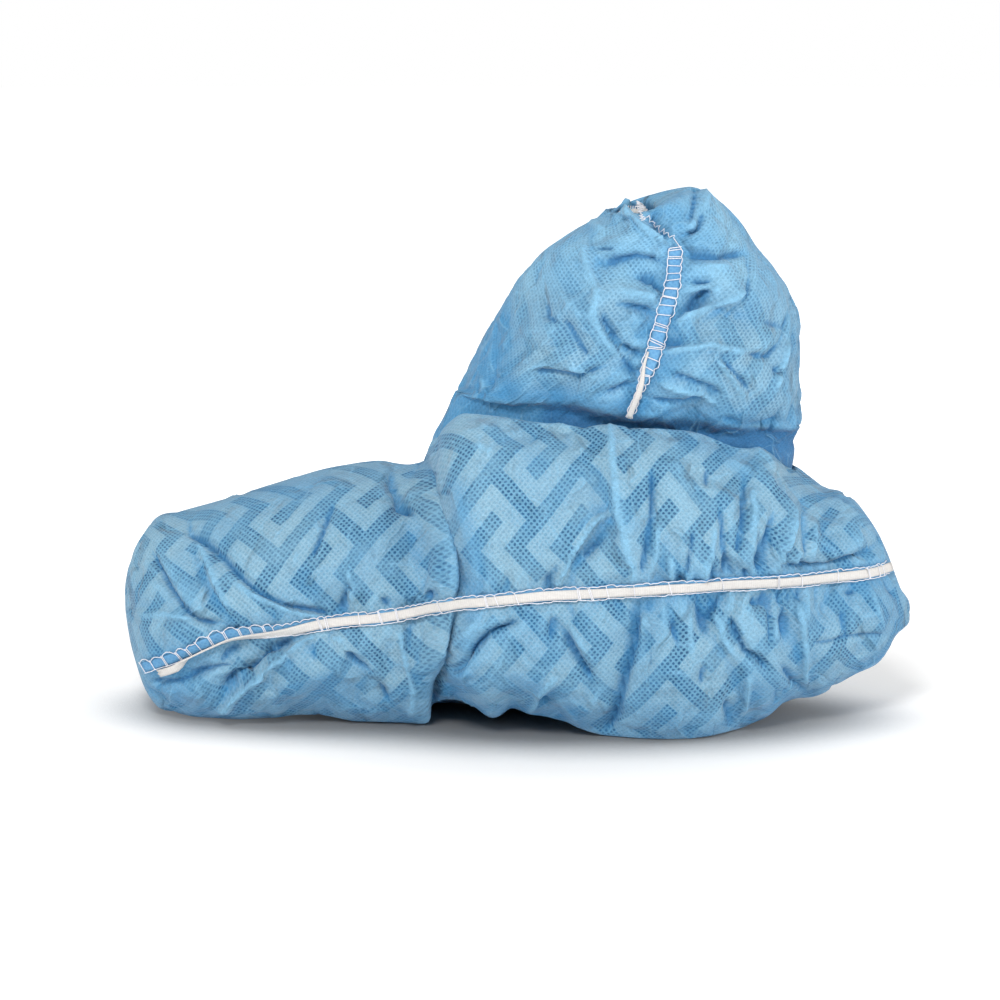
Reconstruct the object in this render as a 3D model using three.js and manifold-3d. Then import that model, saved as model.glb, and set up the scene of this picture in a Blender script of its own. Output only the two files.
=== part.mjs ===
// A disposable shoe cover of the boot kind: a puffed foot part that rests on its sole, with the ankle
// part slouched down on its heel half. Millimetres, toe towards -X, near side towards -Y, +Z up.
//
// Both cloth parts are thin closed walls. The foot part is lofted along X through a table of sections,
// with a valley sunk into its top where the ankle part stands. The ankle part is a stack of oval rings
// that swells over the valley and turns back down into a gathered slit. Seam edges and elastic tapes
// are strips that follow the cloth.

import * as THREE from 'three';
import { mergeVertices } from 'three/addons/utils/BufferGeometryUtils.js';
import Module from 'manifold-3d';

const wasm = await Module();
wasm.setup();

// ---- driving dimensions ---------------------------------------------------------------------------

const HALF_LENGTH = 191;
const TOE_ROUND = 30;
const HEEL_ROUND = 20;
const CLOTH = 1.5;
const CLEARANCE = 0.3;

// The valley in the top of the foot part: an oval, with a floor that falls towards the heel.
const VALLEY = { x: 48, y: -1, halfLength: 94, halfWidth: 43, level: 121, slope: -0.052, top: 175 };
const MOUTH = { halfLength: 72, halfWidth: 29, depth: 8 };

// The foot part's sections: where each stands, the middle and half of its depth, the centre and half of
// its height, and how full its corners are (2 is an ellipse). What would reach below the floor is flat.
const FOOT_SECTIONS = table(
  ['x', 'middle', 'halfDepth', 'centre', 'halfHeight', 'fullness'],
  [
    [-191, 20, 50, 57, 44, 2.3],
    [-178, 20, 54, 47.5, 52, 2.3],
    [-165, 19, 57, 47, 50, 2.2],
    [-153, 18, 59, 48, 53, 2.2],
    [-117, 16, 62, 54, 59, 2.2],
    [-93, 15, 63, 56, 63.5, 2.2],
    [-69, 13, 63, 57, 65, 2.2],
    [-47, 11, 64, 58, 67, 2.2],
    [-36, 0, 68, 68, 76, 2.4],
    [-24, -5, 70, 76, 78, 2.5],
    [8, -7, 70, 76, 79, 2.6],
    [40, -8, 69, 72, 83, 2.6],
    [80, -8, 67, 68, 84, 2.6],
    [105, -6, 63, 68, 78, 2.5],
    [130, -3, 55, 70, 65, 2.4],
    [146, 0, 47, 63, 50, 2.3],
    [161, 0, 40, 61, 43, 2.2],
    [173, 0, 32, 57.5, 31.5, 2.1],
    [185, 0, 20, 51.5, 16.5, 2],
    [191, 0, 14, 51, 10, 2],
  ],
);

// Main folds of the foot part: which side, from x and z to x and z, half width, and how far out (+) or
// in (-) the cloth stands along it.
const FOOT_FOLDS = table(
  ['side', 'x0', 'z0', 'x1', 'z1', 'width', 'rise'],
  [
    [-1, -158, 97, -134, 43, 9, -5],
    [-1, -148, 90, -83, 63, 9, -5],
    [-1, -64, 53, -134, 4, 10, 4],
    [-1, -58, 124, -47, 90, 10, -6],
    [-1, -36, 18, -26, 0, 9, -12],
    [-1, 43, 150, 54, 76, 8, 4],
    [-1, 40, 108, 17, 76, 9, -5],
    [-1, 21, 55, 35, 22, 8, -4],
    [-1, 55, 64, 43, 6, 9, -5],
    [-1, 89, 60, 108, 8, 10, -6],
    [-1, 122, 64, 137, 18, 9, -5],
    [-1, 95, 73, 170, 74, 12, -5],
    [-1, 72, 130, 84, 82, 8, 4],
    [1, -150, 88, -96, 42, 11, -4],
    [1, -70, 110, -84, 30, 12, 4],
    [1, -44, 120, -44, 10, 11, -5],
    [1, 0, 140, -12, 40, 11, 4],
    [1, 50, 130, 36, 16, 12, -5],
    [1, 92, 128, 104, 40, 11, 4],
    [1, 128, 84, 112, 20, 10, -4],
  ],
);

// The ankle part's rings, from the one in the valley, over the top, and down into the slit: centre and
// half size in x and y, height, how much the heel end is higher, and how far the near side dips.
const ANKLE_RINGS = table(
  ['step', 'x', 'halfLength', 'y', 'halfWidth', 'z', 'tilt', 'dip'],
  [
    [0, 46, 86, -1, 37, 121, -4, 0],
    [1, 46.5, 87.5, -1, 39, 133, -3, 0],
    [2, 48, 88, -1, 40, 143, -1, 0],
    [3, 52, 86, -1, 43.5, 151.5, 0, 0],
    [4, 55, 83.5, -1, 52, 158, 0, 0],
    [5, 57.5, 82, 0, 58, 167, 0, 0],
    [6, 61.5, 77.5, 0, 60, 180, 0, 0],
    [7, 63.5, 74, 0, 59.5, 193, 0, 0],
    [8, 64.5, 68.5, 0, 57, 206, 0, 0],
    [9, 64, 60.5, 0, 52, 218, 0, 0],
    [10, 66, 50, 0, 46, 230, 0, 1],
    [11, 69, 38, 0, 40, 241, 1.5, 4],
    [12, 67, 29, 0, 35, 248, 3, 9],
    [13, 62, 21, 0, 31, 251.5, 3.5, 13],
    [14, 57, 13, 0, 28, 248, 2, 10],
    [15, 55, 10.5, 0, 26, 238, 0, 2],
    [16, 55, 10.5, 0, 26, 227, 0, 0],
  ],
);
const FAR_DIP = 0.25;
const ANKLE_TOP_STEP = 13;
const SLIT_STEP = 15;

const ANKLE_FOLDS = table(
  ['side', 'x0', 'z0', 'x1', 'z1', 'width', 'rise'],
  [
    [-1, 40, 222, 68, 218, 8, -6],
    [-1, 50, 204, 66, 196, 9, -5],
    [-1, 6, 196, 50, 208, 9, 4],
    [-1, 80, 228, 108, 224, 8, -4],
    [-1, 82, 206, 124, 196, 8, -5],
    [-1, 16, 164, 44, 180, 10, -6],
    [-1, 84, 176, 124, 164, 10, 5],
    [-1, 96, 222, 124, 184, 9, 4],
    [1, 30, 224, 60, 190, 9, -4],
    [1, 92, 226, 76, 184, 9, 4],
    [1, 10, 170, 50, 180, 10, 4],
    [1, 90, 170, 124, 186, 10, -4],
  ],
);

// Seam edges and tapes on the near side: the line that each follows, in x and z.
const FOOT_SEAM = table(
  ['x', 'z'],
  [
    [-174, 24],
    [-160, 28],
    [-134, 44],
    [-90, 54.5],
    [-37, 64],
    [40, 72.5],
    [89, 74],
    [137, 74.5],
    [178, 72],
  ],
);
const ANKLE_SEAM = table(
  ['z', 'x'],
  [
    [160, 53],
    [168, 57],
    [182, 63],
    [196, 68],
    [210, 72],
    [224, 74],
    [232, 72],
  ],
);
const SEAM_THICKNESS = 1;
const TAPE_THICKNESS = 1;
const ANKLE_SEAM_WIDTH = 6.5;
const ANKLE_TAPE_WIDTH = 2.5;
const ANKLE_TAPE_SHIFT = -(ANKLE_SEAM_WIDTH + ANKLE_TAPE_WIDTH) / 2 - CLEARANCE;
const FOOT_SEAM_STRIP = { start: -174, end: 178, width: 10, front: -8 };
const FOOT_TAPE_STRIP = { start: -166, end: 178, width: 5, front: -8 };
const ANKLE_SEAM_STRIP = { start: 232, end: 160, width: ANKLE_SEAM_WIDTH, front: -30 };
const ANKLE_TAPE_STRIP = {
  start: 184, end: 160, width: ANKLE_TAPE_WIDTH, front: -30, shift: ANKLE_TAPE_SHIFT,
};
const SEAM_STEP = 8;
const OPENING_BAND = { height: 6, thickness: 1.2, clearance: 0.6 };

const FOOT_STEPS = 42;
const FOOT_TURNS = 26;
const ANKLE_TURNS = 36;

// ---- colours and finish ---------------------------------------------------------------------------

const cloth = new THREE.MeshStandardMaterial({ color: 0x73a4c3, roughness: 0.85, metalness: 0 });
const seamCloth = new THREE.MeshStandardMaterial({ color: 0x8bb9d6, roughness: 0.85, metalness: 0 });
const elastic = new THREE.MeshStandardMaterial({ color: 0xe9e4da, roughness: 0.7, metalness: 0 });

// ---- tables ---------------------------------------------------------------------------------------

function table(names, rows) {
  return rows.map((row) => Object.fromEntries(names.map((name, i) => [name, row[i]])));
}

// A row between the rows of a table, on smooth curves through them. The first column says where.
function rowAt(rows, place) {
  const key = Object.keys(rows[0])[0];
  const last = rows.length - 1;
  const found = rows.findIndex((row) => row[key] > place);
  const next = found < 0 ? last : Math.max(found, 1);
  const [a, b] = [rows[next - 1], rows[next]];
  const before = rows[Math.max(next - 2, 0)];
  const after = rows[Math.min(next + 1, last)];
  const span = b[key] - a[key];
  const s = THREE.MathUtils.clamp((place - a[key]) / span, 0, 1);
  const row = {};
  for (const name of Object.keys(a)) {
    const leaving = ((b[name] - before[name]) / (b[key] - before[key])) * span;
    const arriving = ((after[name] - a[name]) / (after[key] - a[key])) * span;
    row[name] = a[name] * (1 + 2 * s) * (1 - s) ** 2 + leaving * s * (1 - s) ** 2
      + b[name] * (3 - 2 * s) * s ** 2 + arriving * (s - 1) * s ** 2;
  }
  return row;
}

// How far the folds of one side lift the cloth at x and z.
function foldRise(folds, side, x, z) {
  let rise = 0;
  for (const fold of folds.filter((row) => row.side === side)) {
    const [dx, dz] = [fold.x1 - fold.x0, fold.z1 - fold.z0];
    const along = ((x - fold.x0) * dx + (z - fold.z0) * dz) / (dx * dx + dz * dz);
    const near = THREE.MathUtils.clamp(along, 0, 1);
    const away = Math.hypot(x - fold.x0 - near * dx, z - fold.z0 - near * dz);
    rise += fold.rise * Math.exp(-((away / fold.width) ** 2));
  }
  return rise;
}

// ---- surfaces -------------------------------------------------------------------------------------

function full(value, fullness) {
  return Math.sign(value) * Math.abs(value) ** (2 / fullness);
}

// How much of a section is left near the two rounded ends.
function endRounding(x) {
  const toe = Math.max(0, 1 - (x + HALF_LENGTH) / TOE_ROUND);
  const heel = Math.max(0, 1 - (HALF_LENGTH - x) / HEEL_ROUND);
  return Math.sqrt(Math.max(0, 1 - toe ** 2)) * Math.sqrt(Math.max(0, 1 - heel ** 2));
}

// The outside of the foot part: lengthwise goes from toe (0) to heel (pi), around from the middle of
// the sole (0) up the near side (pi / 2) over the top (pi).
function footPoint(lengthwise, around) {
  const x = -HALF_LENGTH * Math.cos(lengthwise);
  const section = rowAt(FOOT_SECTIONS, x);
  const left = endRounding(x);
  const [out, up] = [-Math.sin(around), -Math.cos(around)];
  const y = section.middle + section.halfDepth * left * full(out, section.fullness);
  const z = section.centre + section.halfHeight * left * full(up, section.fullness);
  const rise = foldRise(FOOT_FOLDS, Math.sign(out), x, z) * Math.abs(out) * left;
  return new THREE.Vector3(x, y + rise * out, Math.max(0, z + rise * up));
}

// The outside of the ankle part: step counts its rings, around turns from the heel end (0).
function anklePoint(step, around) {
  const ring = rowAt(ANKLE_RINGS, step);
  const [cos, sin] = [Math.cos(around), Math.sin(around)];
  const x = ring.x + ring.halfLength * cos;
  const z = ring.z + ring.tilt * cos - ring.dip * (sin < 0 ? 1 : FAR_DIP) * sin * sin;
  const outside = THREE.MathUtils.smoothstep(ANKLE_TOP_STEP - step, 0, 2)
    * THREE.MathUtils.smoothstep(step, 3, 5);
  const rise = foldRise(ANKLE_FOLDS, Math.sign(sin), x, z) * Math.abs(sin) * outside;
  return new THREE.Vector3(x + rise * cos, ring.y + (ring.halfWidth + rise) * sin, z);
}

function valleyLevel(x) {
  return VALLEY.level + VALLEY.slope * (x - VALLEY.x);
}

// A surface's outward direction. Turned is -1 where its two parameters run the other way round.
function outward(surface, u, v, turned) {
  const step = 0.001;
  const alongU = surface(u + step, v).sub(surface(u - step, v));
  const alongV = surface(u, v + step).sub(surface(u, v - step));
  return alongU.cross(alongV).normalize().multiplyScalar(turned);
}

// ---- solids ---------------------------------------------------------------------------------------

function welded(geometry) {
  geometry.deleteAttribute('normal');
  geometry.deleteAttribute('uv');
  return mergeVertices(geometry, 1e-3);
}

function toSolid(geometry) {
  const merged = welded(geometry);
  return new wasm.Manifold(new wasm.Mesh({
    numProp: 3,
    vertProperties: new Float32Array(merged.attributes.position.array),
    triVerts: new Uint32Array(merged.index.array),
  }));
}

function toGeometry(solid) {
  const mesh = solid.getMesh();
  const geometry = new THREE.BufferGeometry();
  geometry.setAttribute('position', new THREE.BufferAttribute(mesh.vertProperties, 3));
  geometry.setIndex(new THREE.BufferAttribute(mesh.triVerts, 1));
  return geometry;
}

// The foot part's outer form, moved out (+) or in (-) all over.
function footForm(offset) {
  const geometry = welded(new THREE.SphereGeometry(1, FOOT_TURNS, FOOT_STEPS));
  const position = geometry.attributes.position;
  for (let i = 0; i < position.count; i += 1) {
    const lengthwise = Math.acos(THREE.MathUtils.clamp(position.getY(i), -1, 1));
    const around = Math.atan2(position.getZ(i), -position.getX(i));
    const point = footPoint(lengthwise, around);
    const atTip = Math.sin(lengthwise) < 1e-3;
    const away = atTip
      ? new THREE.Vector3(Math.sign(point.x), 0, 0)
      : outward(footPoint, lengthwise, around, 1);
    point.addScaledVector(away, offset);
    point.z = Math.max(point.z, -offset);
    position.setXYZ(i, point.x, point.y, point.z);
  }
  return geometry;
}

// An upright oval column over the valley whose foot lies on the valley's floor, lowered by depth.
function valleyColumn(halfLength, halfWidth, depth) {
  const column = new THREE.CylinderGeometry(1, 1, 1, ANKLE_TURNS);
  column.rotateX(Math.PI / 2);
  const position = column.attributes.position;
  for (let i = 0; i < position.count; i += 1) {
    const x = VALLEY.x + halfLength * position.getX(i);
    const z = position.getZ(i) > 0 ? VALLEY.top : valleyLevel(x) - depth;
    position.setXYZ(i, x, VALLEY.y + halfWidth * position.getY(i), z);
  }
  return toSolid(column);
}

function footBody() {
  const outside = toSolid(footForm(0))
    .subtract(valleyColumn(VALLEY.halfLength, VALLEY.halfWidth, 0));
  const floor = valleyColumn(VALLEY.halfLength + CLOTH, VALLEY.halfWidth + CLOTH, CLOTH);
  const inside = toSolid(footForm(-CLOTH)).subtract(floor);
  const mouth = valleyColumn(MOUTH.halfLength, MOUTH.halfWidth, MOUTH.depth);
  return toGeometry(outside.subtract(inside).subtract(mouth));
}

// A wall that closes on itself: out along one face and back along the other, all the way round.
function closedBand(faceOut, faceBack, steps, turns) {
  const rows = 2 * (steps + 1);
  const geometry = new THREE.TorusGeometry(2, 1, rows, turns);
  const position = geometry.attributes.position;
  for (let row = 0; row <= rows; row += 1) {
    const ahead = row % rows;
    for (let turn = 0; turn <= turns; turn += 1) {
      const around = ((turn % turns) / turns) * 2 * Math.PI;
      const point = ahead <= steps ? faceOut(ahead, around) : faceBack(rows - 1 - ahead, around);
      position.setXYZ(row * (turns + 1) + turn, point.x, point.y, point.z);
    }
  }
  return welded(geometry);
}

// The ankle part's first ring lies level in the valley.
function ankleBody() {
  const face = (lift) => (step, around) => {
    const point = anklePoint(step, around)
      .addScaledVector(outward(anklePoint, step, around, -1), lift);
    if (step === 0) point.z = valleyLevel(point.x) + CLEARANCE;
    return point;
  };
  return closedBand(face(0), face(-CLOTH), ANKLE_RINGS.length - 1, ANKLE_TURNS);
}

// What lies on the near side of a form, from a low to a high distance off it.
function nearSkin(form, low, high) {
  const raised = toSolid(form().translate(0, -high, 0));
  return raised.subtract(toSolid(form().translate(0, -low, 0)));
}

// A strip of a skin: the part of it behind a band that follows a seam line, on the near side only.
function strip(skin, seam, { start, end, width, front, shift = 0 }) {
  const lengthwise = Object.keys(seam[0])[0] === 'x';
  const steps = Math.round(Math.abs(end - start) / SEAM_STEP);
  const edge = (side) => Array.from({ length: steps + 1 }, (_, i) => {
    const spot = rowAt(seam, THREE.MathUtils.lerp(start, end, i / steps));
    const across = shift + (side * width) / 2;
    return lengthwise
      ? new THREE.Vector2(spot.x, spot.z + across)
      : new THREE.Vector2(spot.x + across, spot.z);
  });
  const outline = new THREE.Shape([...edge(-1), ...edge(1).reverse()]);
  const band = new THREE.ExtrudeGeometry(outline, { depth: HALF_LENGTH, bevelEnabled: false });
  band.rotateX(Math.PI / 2).translate(0, front, 0);
  return toGeometry(skin.intersect(toSolid(band)));
}

function openingBand() {
  const { height, thickness, clearance } = OPENING_BAND;
  const inset = clearance + thickness;
  const ring = (gap, rise) => (around) => {
    const slit = rowAt(ANKLE_RINGS, SLIT_STEP);
    const x = slit.x + (slit.halfLength - gap) * Math.cos(around);
    const y = slit.y + (slit.halfWidth - gap) * Math.sin(around);
    return new THREE.Vector3(x, y, slit.z - slit.dip - height + rise);
  };
  const outer = (step, around) => ring(clearance, step * height)(around);
  const inner = (step, around) => ring(inset, step * height)(around);
  return closedBand(outer, inner, 1, ANKLE_TURNS);
}

// ---- assembly -------------------------------------------------------------------------------------

const cover = new THREE.Group();

function addPiece(name, geometry, material) {
  const piece = new THREE.Mesh(geometry, material);
  piece.name = name;
  cover.add(piece);
}

const seamLow = CLEARANCE;
const seamHigh = seamLow + SEAM_THICKNESS;
const tapeLow = seamHigh + CLEARANCE;
const tapeHigh = tapeLow + TAPE_THICKNESS;
const footOutside = () => footForm(0);
const ankleSkin = nearSkin(ankleBody, seamLow, seamHigh);
const footSeamSkin = nearSkin(footOutside, seamLow, seamHigh);
const footTapeSkin = nearSkin(footOutside, tapeLow, tapeHigh);

addPiece('foot_body', footBody(), cloth);
addPiece('ankle_body', ankleBody(), cloth);
addPiece('foot_seam_edge', strip(footSeamSkin, FOOT_SEAM, FOOT_SEAM_STRIP), seamCloth);
addPiece('foot_elastic_tape', strip(footTapeSkin, FOOT_SEAM, FOOT_TAPE_STRIP), elastic);
addPiece('ankle_seam_edge', strip(ankleSkin, ANKLE_SEAM, ANKLE_SEAM_STRIP), seamCloth);
addPiece('ankle_elastic_tape', strip(ankleSkin, ANKLE_SEAM, ANKLE_TAPE_STRIP), elastic);
addPiece('opening_elastic', openingBand(), elastic);

// The origin is the middle of the whole, on the floor.
const whole = new THREE.Box3().setFromObject(cover);
const middle = whole.getCenter(new THREE.Vector3());
cover.position.set(-middle.x, -middle.y, -whole.min.z);

export default cover;
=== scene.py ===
"""A disposable shoe cover of light blue nonwoven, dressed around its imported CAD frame.

The foot part and the ankle part are sheets of cloth that are shaped over the frame's form, crumpled by a
cloth simulation, and finished with the elastic tape, the overlocked seam edges and their thread.
Lengths in the tables are millimetres. X runs from toe to heel, -Y is the side with the tape, and Z is up.
"""

import math

import bmesh
import bpy
import numpy as np
from bpy.props import FloatProperty, FloatVectorProperty, PointerProperty
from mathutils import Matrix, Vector
from mathutils.bvhtree import BVHTree


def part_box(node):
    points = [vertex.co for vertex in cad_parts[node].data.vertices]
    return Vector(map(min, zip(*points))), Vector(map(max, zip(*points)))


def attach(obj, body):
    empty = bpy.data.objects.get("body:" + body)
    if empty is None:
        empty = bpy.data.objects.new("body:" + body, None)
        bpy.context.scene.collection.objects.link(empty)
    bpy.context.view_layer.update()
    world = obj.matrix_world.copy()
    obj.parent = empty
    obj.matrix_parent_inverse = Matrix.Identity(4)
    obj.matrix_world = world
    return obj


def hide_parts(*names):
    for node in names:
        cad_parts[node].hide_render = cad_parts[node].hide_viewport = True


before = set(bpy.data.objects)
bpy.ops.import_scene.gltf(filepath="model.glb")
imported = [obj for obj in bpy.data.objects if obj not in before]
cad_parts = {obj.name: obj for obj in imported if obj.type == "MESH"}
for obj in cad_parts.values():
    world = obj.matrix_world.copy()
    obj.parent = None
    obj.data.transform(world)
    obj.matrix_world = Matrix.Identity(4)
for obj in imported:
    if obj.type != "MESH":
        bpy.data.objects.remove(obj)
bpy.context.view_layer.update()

bl_info = {
    "name": "Disposable Shoe Cover",
    "version": (1, 0, 0),
    "blender": (4, 5, 0),
    "location": "3D View > Sidebar > Shoe Cover",
    "description": "Builds the cloth, tape, thread and studio of a disposable shoe cover",
    "category": "Object",
}

MM = 0.001
NEAR, FAR = -1, 1

# ---------------------------------------------------------------- the foot part's form

HALF_LENGTH = 191

# how far from each end the outline starts to round off
TOE_ROUND = 30
HEEL_ROUND = 20

# x, middle in y, half depth, middle in z, half height, fullness of the outline
FOOT_SECTIONS = [
    (-191, 20, 50, 57, 44, 2.3), (-178, 20, 54, 47.5, 52, 2.3), (-165, 19, 57, 46, 49, 2.2),
    (-153, 18, 59, 46.2, 51.2, 2.2), (-117, 16, 62, 51.9, 56.9, 2.2),
    (-93, 15, 63, 54.4, 61.9, 2.2), (-69, 13, 63, 56.3, 64.3, 2.2), (-47, 11, 64, 56.5, 65.5, 2.2),
    (-35, 0, 68, 68, 76, 2.4), (-24, -5, 70, 76, 78, 2.5), (8, -7, 70, 76, 79, 2.6),
    (40, -8, 69, 72, 83, 2.6), (80, -8, 67, 68, 84, 2.6), (105, -6, 63, 67.5, 74, 2.5),
    (118, -5, 59.5, 69.5, 68.5, 2.4), (130, -3, 55, 66.2, 57.6, 2.4), (146, 0, 47, 61.2, 49.4, 2.3),
    (161, 0, 40, 63.8, 43, 2.2), (173, 0, 32, 58.7, 32.7, 2.1), (185, 0, 20, 53, 19, 2),
    (191, 0, 16, 51, 16.5, 2),
]

# side (-1 near, 1 far), from x, z, to x, z, width, rise of each soft fold
FOOT_FOLDS = [
    (-1, -158, 97, -134, 43, 9, -5), (-1, -148, 90, -83, 63, 9, -5), (-1, -64, 53, -134, 4, 10, 4),
    (-1, -58, 124, -47, 90, 10, -6), (-1, -36, 18, -26, 0, 9, -12), (-1, 43, 150, 54, 76, 8, 4),
    (-1, 40, 108, 17, 76, 9, -5), (-1, 21, 55, 35, 22, 8, -4), (-1, 55, 64, 43, 6, 9, -5),
    (-1, 89, 60, 108, 8, 10, -6), (-1, 122, 64, 137, 18, 9, -5), (-1, 95, 73, 170, 74, 12, -5),
    (-1, 72, 130, 84, 82, 8, 4), (1, -150, 88, -96, 42, 11, -4), (1, -70, 110, -84, 30, 12, 4),
    (1, -44, 120, -44, 10, 11, -5), (1, 0, 140, -12, 40, 11, 4), (1, 50, 130, 36, 16, 12, -5),
    (1, 92, 128, 104, 40, 11, 4), (1, 128, 84, 112, 20, 10, -4),
]

# the hollow on top of the foot part that the ankle part stands in, and the mouth at its bottom
VALLEY = {"x": 48, "y": -1, "half_length": 87, "half_width": 43, "level": 121, "slope": -0.052}
MOUTH = {"half_length": 72, "half_width": 29}
RIM_BOTTOM = VALLEY["level"] - 15

# the line, as z and x, of the fold where the toe's cloth laps over the instep's
LAP_LINE = [
    (-10, -47), (4, -46.5), (20, -44.5), (32, -40.5), (42, -38), (52, -36.5),
    (66, -33), (86, -33), (101, -37), (116, -42), (128, -45),
]

# how far the near side's lower edge stands off the floor beside that fold, by x
LIFT_LINE = [
    (-130, 0), (-118, 0.6), (-104, 3.2), (-92, 3), (-78, 0), (-46, 0), (-42, 10), (-33, 14),
    (-20, 8), (-13, 4), (-8, 5), (-4, 9), (1, 9), (5, 7), (16, 6.5), (28, 3.5), (42, 0), (60, 0),
]

# the seam with the elastic tape along the near side, as x and z
FOOT_SEAM = [
    (-178, 23), (-169, 27), (-159, 31.5), (-146, 38), (-134, 43), (-110, 48.5), (-95, 52.5),
    (-81, 54.5), (-66, 56.7), (-52, 59.3), (-37, 64.5), (-23, 68.3), (-8, 70.4), (6, 71.6),
    (21, 72.3), (35, 73.6), (50, 75), (89, 76.4), (137, 75), (180, 74.5),
]

# creases that stand up (+) or sink in (-) along the near side: height, width, then their points as x and z
FOOT_CREASES = [
    (-3.0, 5, (-161, 99), (-157, 91), (-141, 83), (-123, 69), (-105, 61), (-87, 58)),
    (1.8, 4, (-155, 90), (-146, 77), (-139, 65), (-135, 58)),
    (1.6, 5, (-136, 73), (-120, 65), (-105, 59), (-88, 55)),
    (-3.4, 5, (-178, 85), (-170, 73), (-162, 63), (-152, 55), (-140, 52)),
    (-1.0, 5, (-190, 75), (-170, 71)), (1.2, 4, (-187, 51), (-168, 56), (-146, 54)),
    (-1.8, 7, (-87, 111), (-92, 98), (-98, 83)), (-2.6, 4, (-78, 73), (-82, 64), (-85, 58)),
    (1.6, 4, (-81, 81), (-78, 72), (-80, 62)), (-2.4, 5, (-64, 67), (-60, 62)),
    (-2.0, 5, (-43, 72), (-41, 66)),
    (-5.0, 4, (-51, 132), (-57, 128), (-60, 122), (-60, 116), (-56, 107), (-50, 103)),
    (2.4, 5, (-55, 121), (-44, 125)), (4.2, 7, (-93, 49), (-109, 39), (-123, 27), (-134, 17), (-143, 7)),
    (-4.8, 9, (-105, 47), (-121, 39), (-132, 28), (-141, 18)),
    (-2.4, 5, (-131, 43), (-138, 39), (-142, 33)), (-2.0, 6, (-83, 43), (-77, 36), (-69, 30)),
    (1.2, 4, (-90, 48), (-80, 45)), (1.8, 5, (-56, 53), (-53, 40), (-49, 21), (-51, 4)),
    (-1.8, 4, (-66, 26), (-61, 14)), (-2.0, 6, (-178, 20), (-162, 23), (-146, 32)),
    (-1.6, 5, (-160, 27), (-134, 34)), (-5.0, 6, (1, 63), (-13, 54), (-25, 42), (-35, 30)),
    (1.4, 4, (-17, 61), (-27, 51), (-33, 41)), (-2.8, 5, (11, 19), (14, 22)),
    (2.0, 4, (19, 36), (10, 24), (6, 11)), (-2.0, 4, (17, 65), (16, 51)),
    (-2.6, 3, (21, 57), (28, 43), (35, 31)), (1.2, 4, (25, 59), (32, 44)),
    (-3.0, 5, (56, 67), (54, 52), (50, 33), (46, 14), (42, 2)), (1.8, 4, (60, 65), (57, 53)),
    (-1.0, 4, (60, 62), (62, 36)), (1.2, 5, (39, 28), (33, 18)),
    (2.2, 4, (43, 153), (44, 135), (46, 116), (49, 101), (54, 76)),
    (2.2, 4, (45, 112), (35, 106), (26, 94), (19, 80), (17, 73)), (-2.4, 4, (40, 101), (28, 88)),
    (-2.6, 4, (15, 83), (15, 72)), (-1.9, 4, (62, 131), (62, 111), (60, 95), (57, 81)),
    (1.4, 4, (65, 108), (63, 86)), (-2.4, 4, (55, 79), (57, 72)), (1.2, 12, (-23, 140), (-8, 138)),
    (-2.2, 4, (94, 114), (96, 94), (99, 79)), (1.6, 4, (91, 106), (89, 86)),
    (-2.4, 5, (106, 125), (105, 106), (102, 89)), (1.8, 4, (109, 122), (111, 94)),
    (-2.6, 6, (120, 110), (116, 92), (113, 80)), (2.4, 4, (131, 110), (127, 94), (121, 79)),
    (-2.2, 4, (136, 117), (136, 85)), (1.4, 4, (143, 114), (139, 85)),
    (-2.8, 5, (125, 83), (144, 80), (155, 82), (177, 88)),
    (-2.0, 5, (120, 134), (132, 124), (151, 115), (159, 114)), (1.8, 5, (112, 139), (122, 127), (130, 108)),
    (-1.6, 4, (122, 124), (125, 116)), (-1.4, 6, (89, 131), (87, 121)), (-2.2, 3, (75, 82), (76, 75)),
    (-2.2, 3, (83, 81), (82, 74)), (-2.0, 3, (91, 84), (91, 76)), (-2.4, 4, (107, 83), (106, 77)),
    (1.4, 3, (79, 86), (79, 76)), (1.4, 3, (87, 87), (87, 76)), (1.6, 4, (70, 94), (72, 77)),
    (-3.4, 4, (97, 65), (101, 54), (106, 44), (112, 41), (119, 34)),
    (1.8, 4, (91, 64), (96, 51), (102, 41)), (-2.6, 4, (107, 68), (118, 67)),
    (-2.6, 3, (123, 71), (124, 64)), (-2.4, 3, (133, 71), (131, 65)), (-2.6, 4, (125, 63), (126, 48)),
    (1.6, 4, (120, 61), (121, 47)), (1.8, 4, (132, 65), (136, 42), (137, 21)),
    (-2.4, 4, (125, 36), (132, 25), (139, 15)), (-1.8, 4, (127, 23), (129, 15)),
    (-2.0, 4, (123, 23), (123, 15)), (-2.2, 4, (98, 22), (102, 4)), (1.5, 4, (109, 34), (107, 8)),
    (-1.2, 4, (137, 45), (157, 46), (178, 45)), (-1.4, 4, (153, 61), (157, 45)),
    (-2.2, 3, (85, 68), (87, 54)), (-1.6, 6, (88, 41), (85, 28)), (-1.6, 4, (71, 65), (75, 47)),
    (1.3, 4, (79, 67), (81, 42)), (-1.6, 4, (162, 68), (155, 67)), (-1.8, 4, (175, 72), (183, 60)),
    (1.0, 4, (167, 71), (176, 45)),
]

# ---------------------------------------------------------------- the ankle part's form

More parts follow.
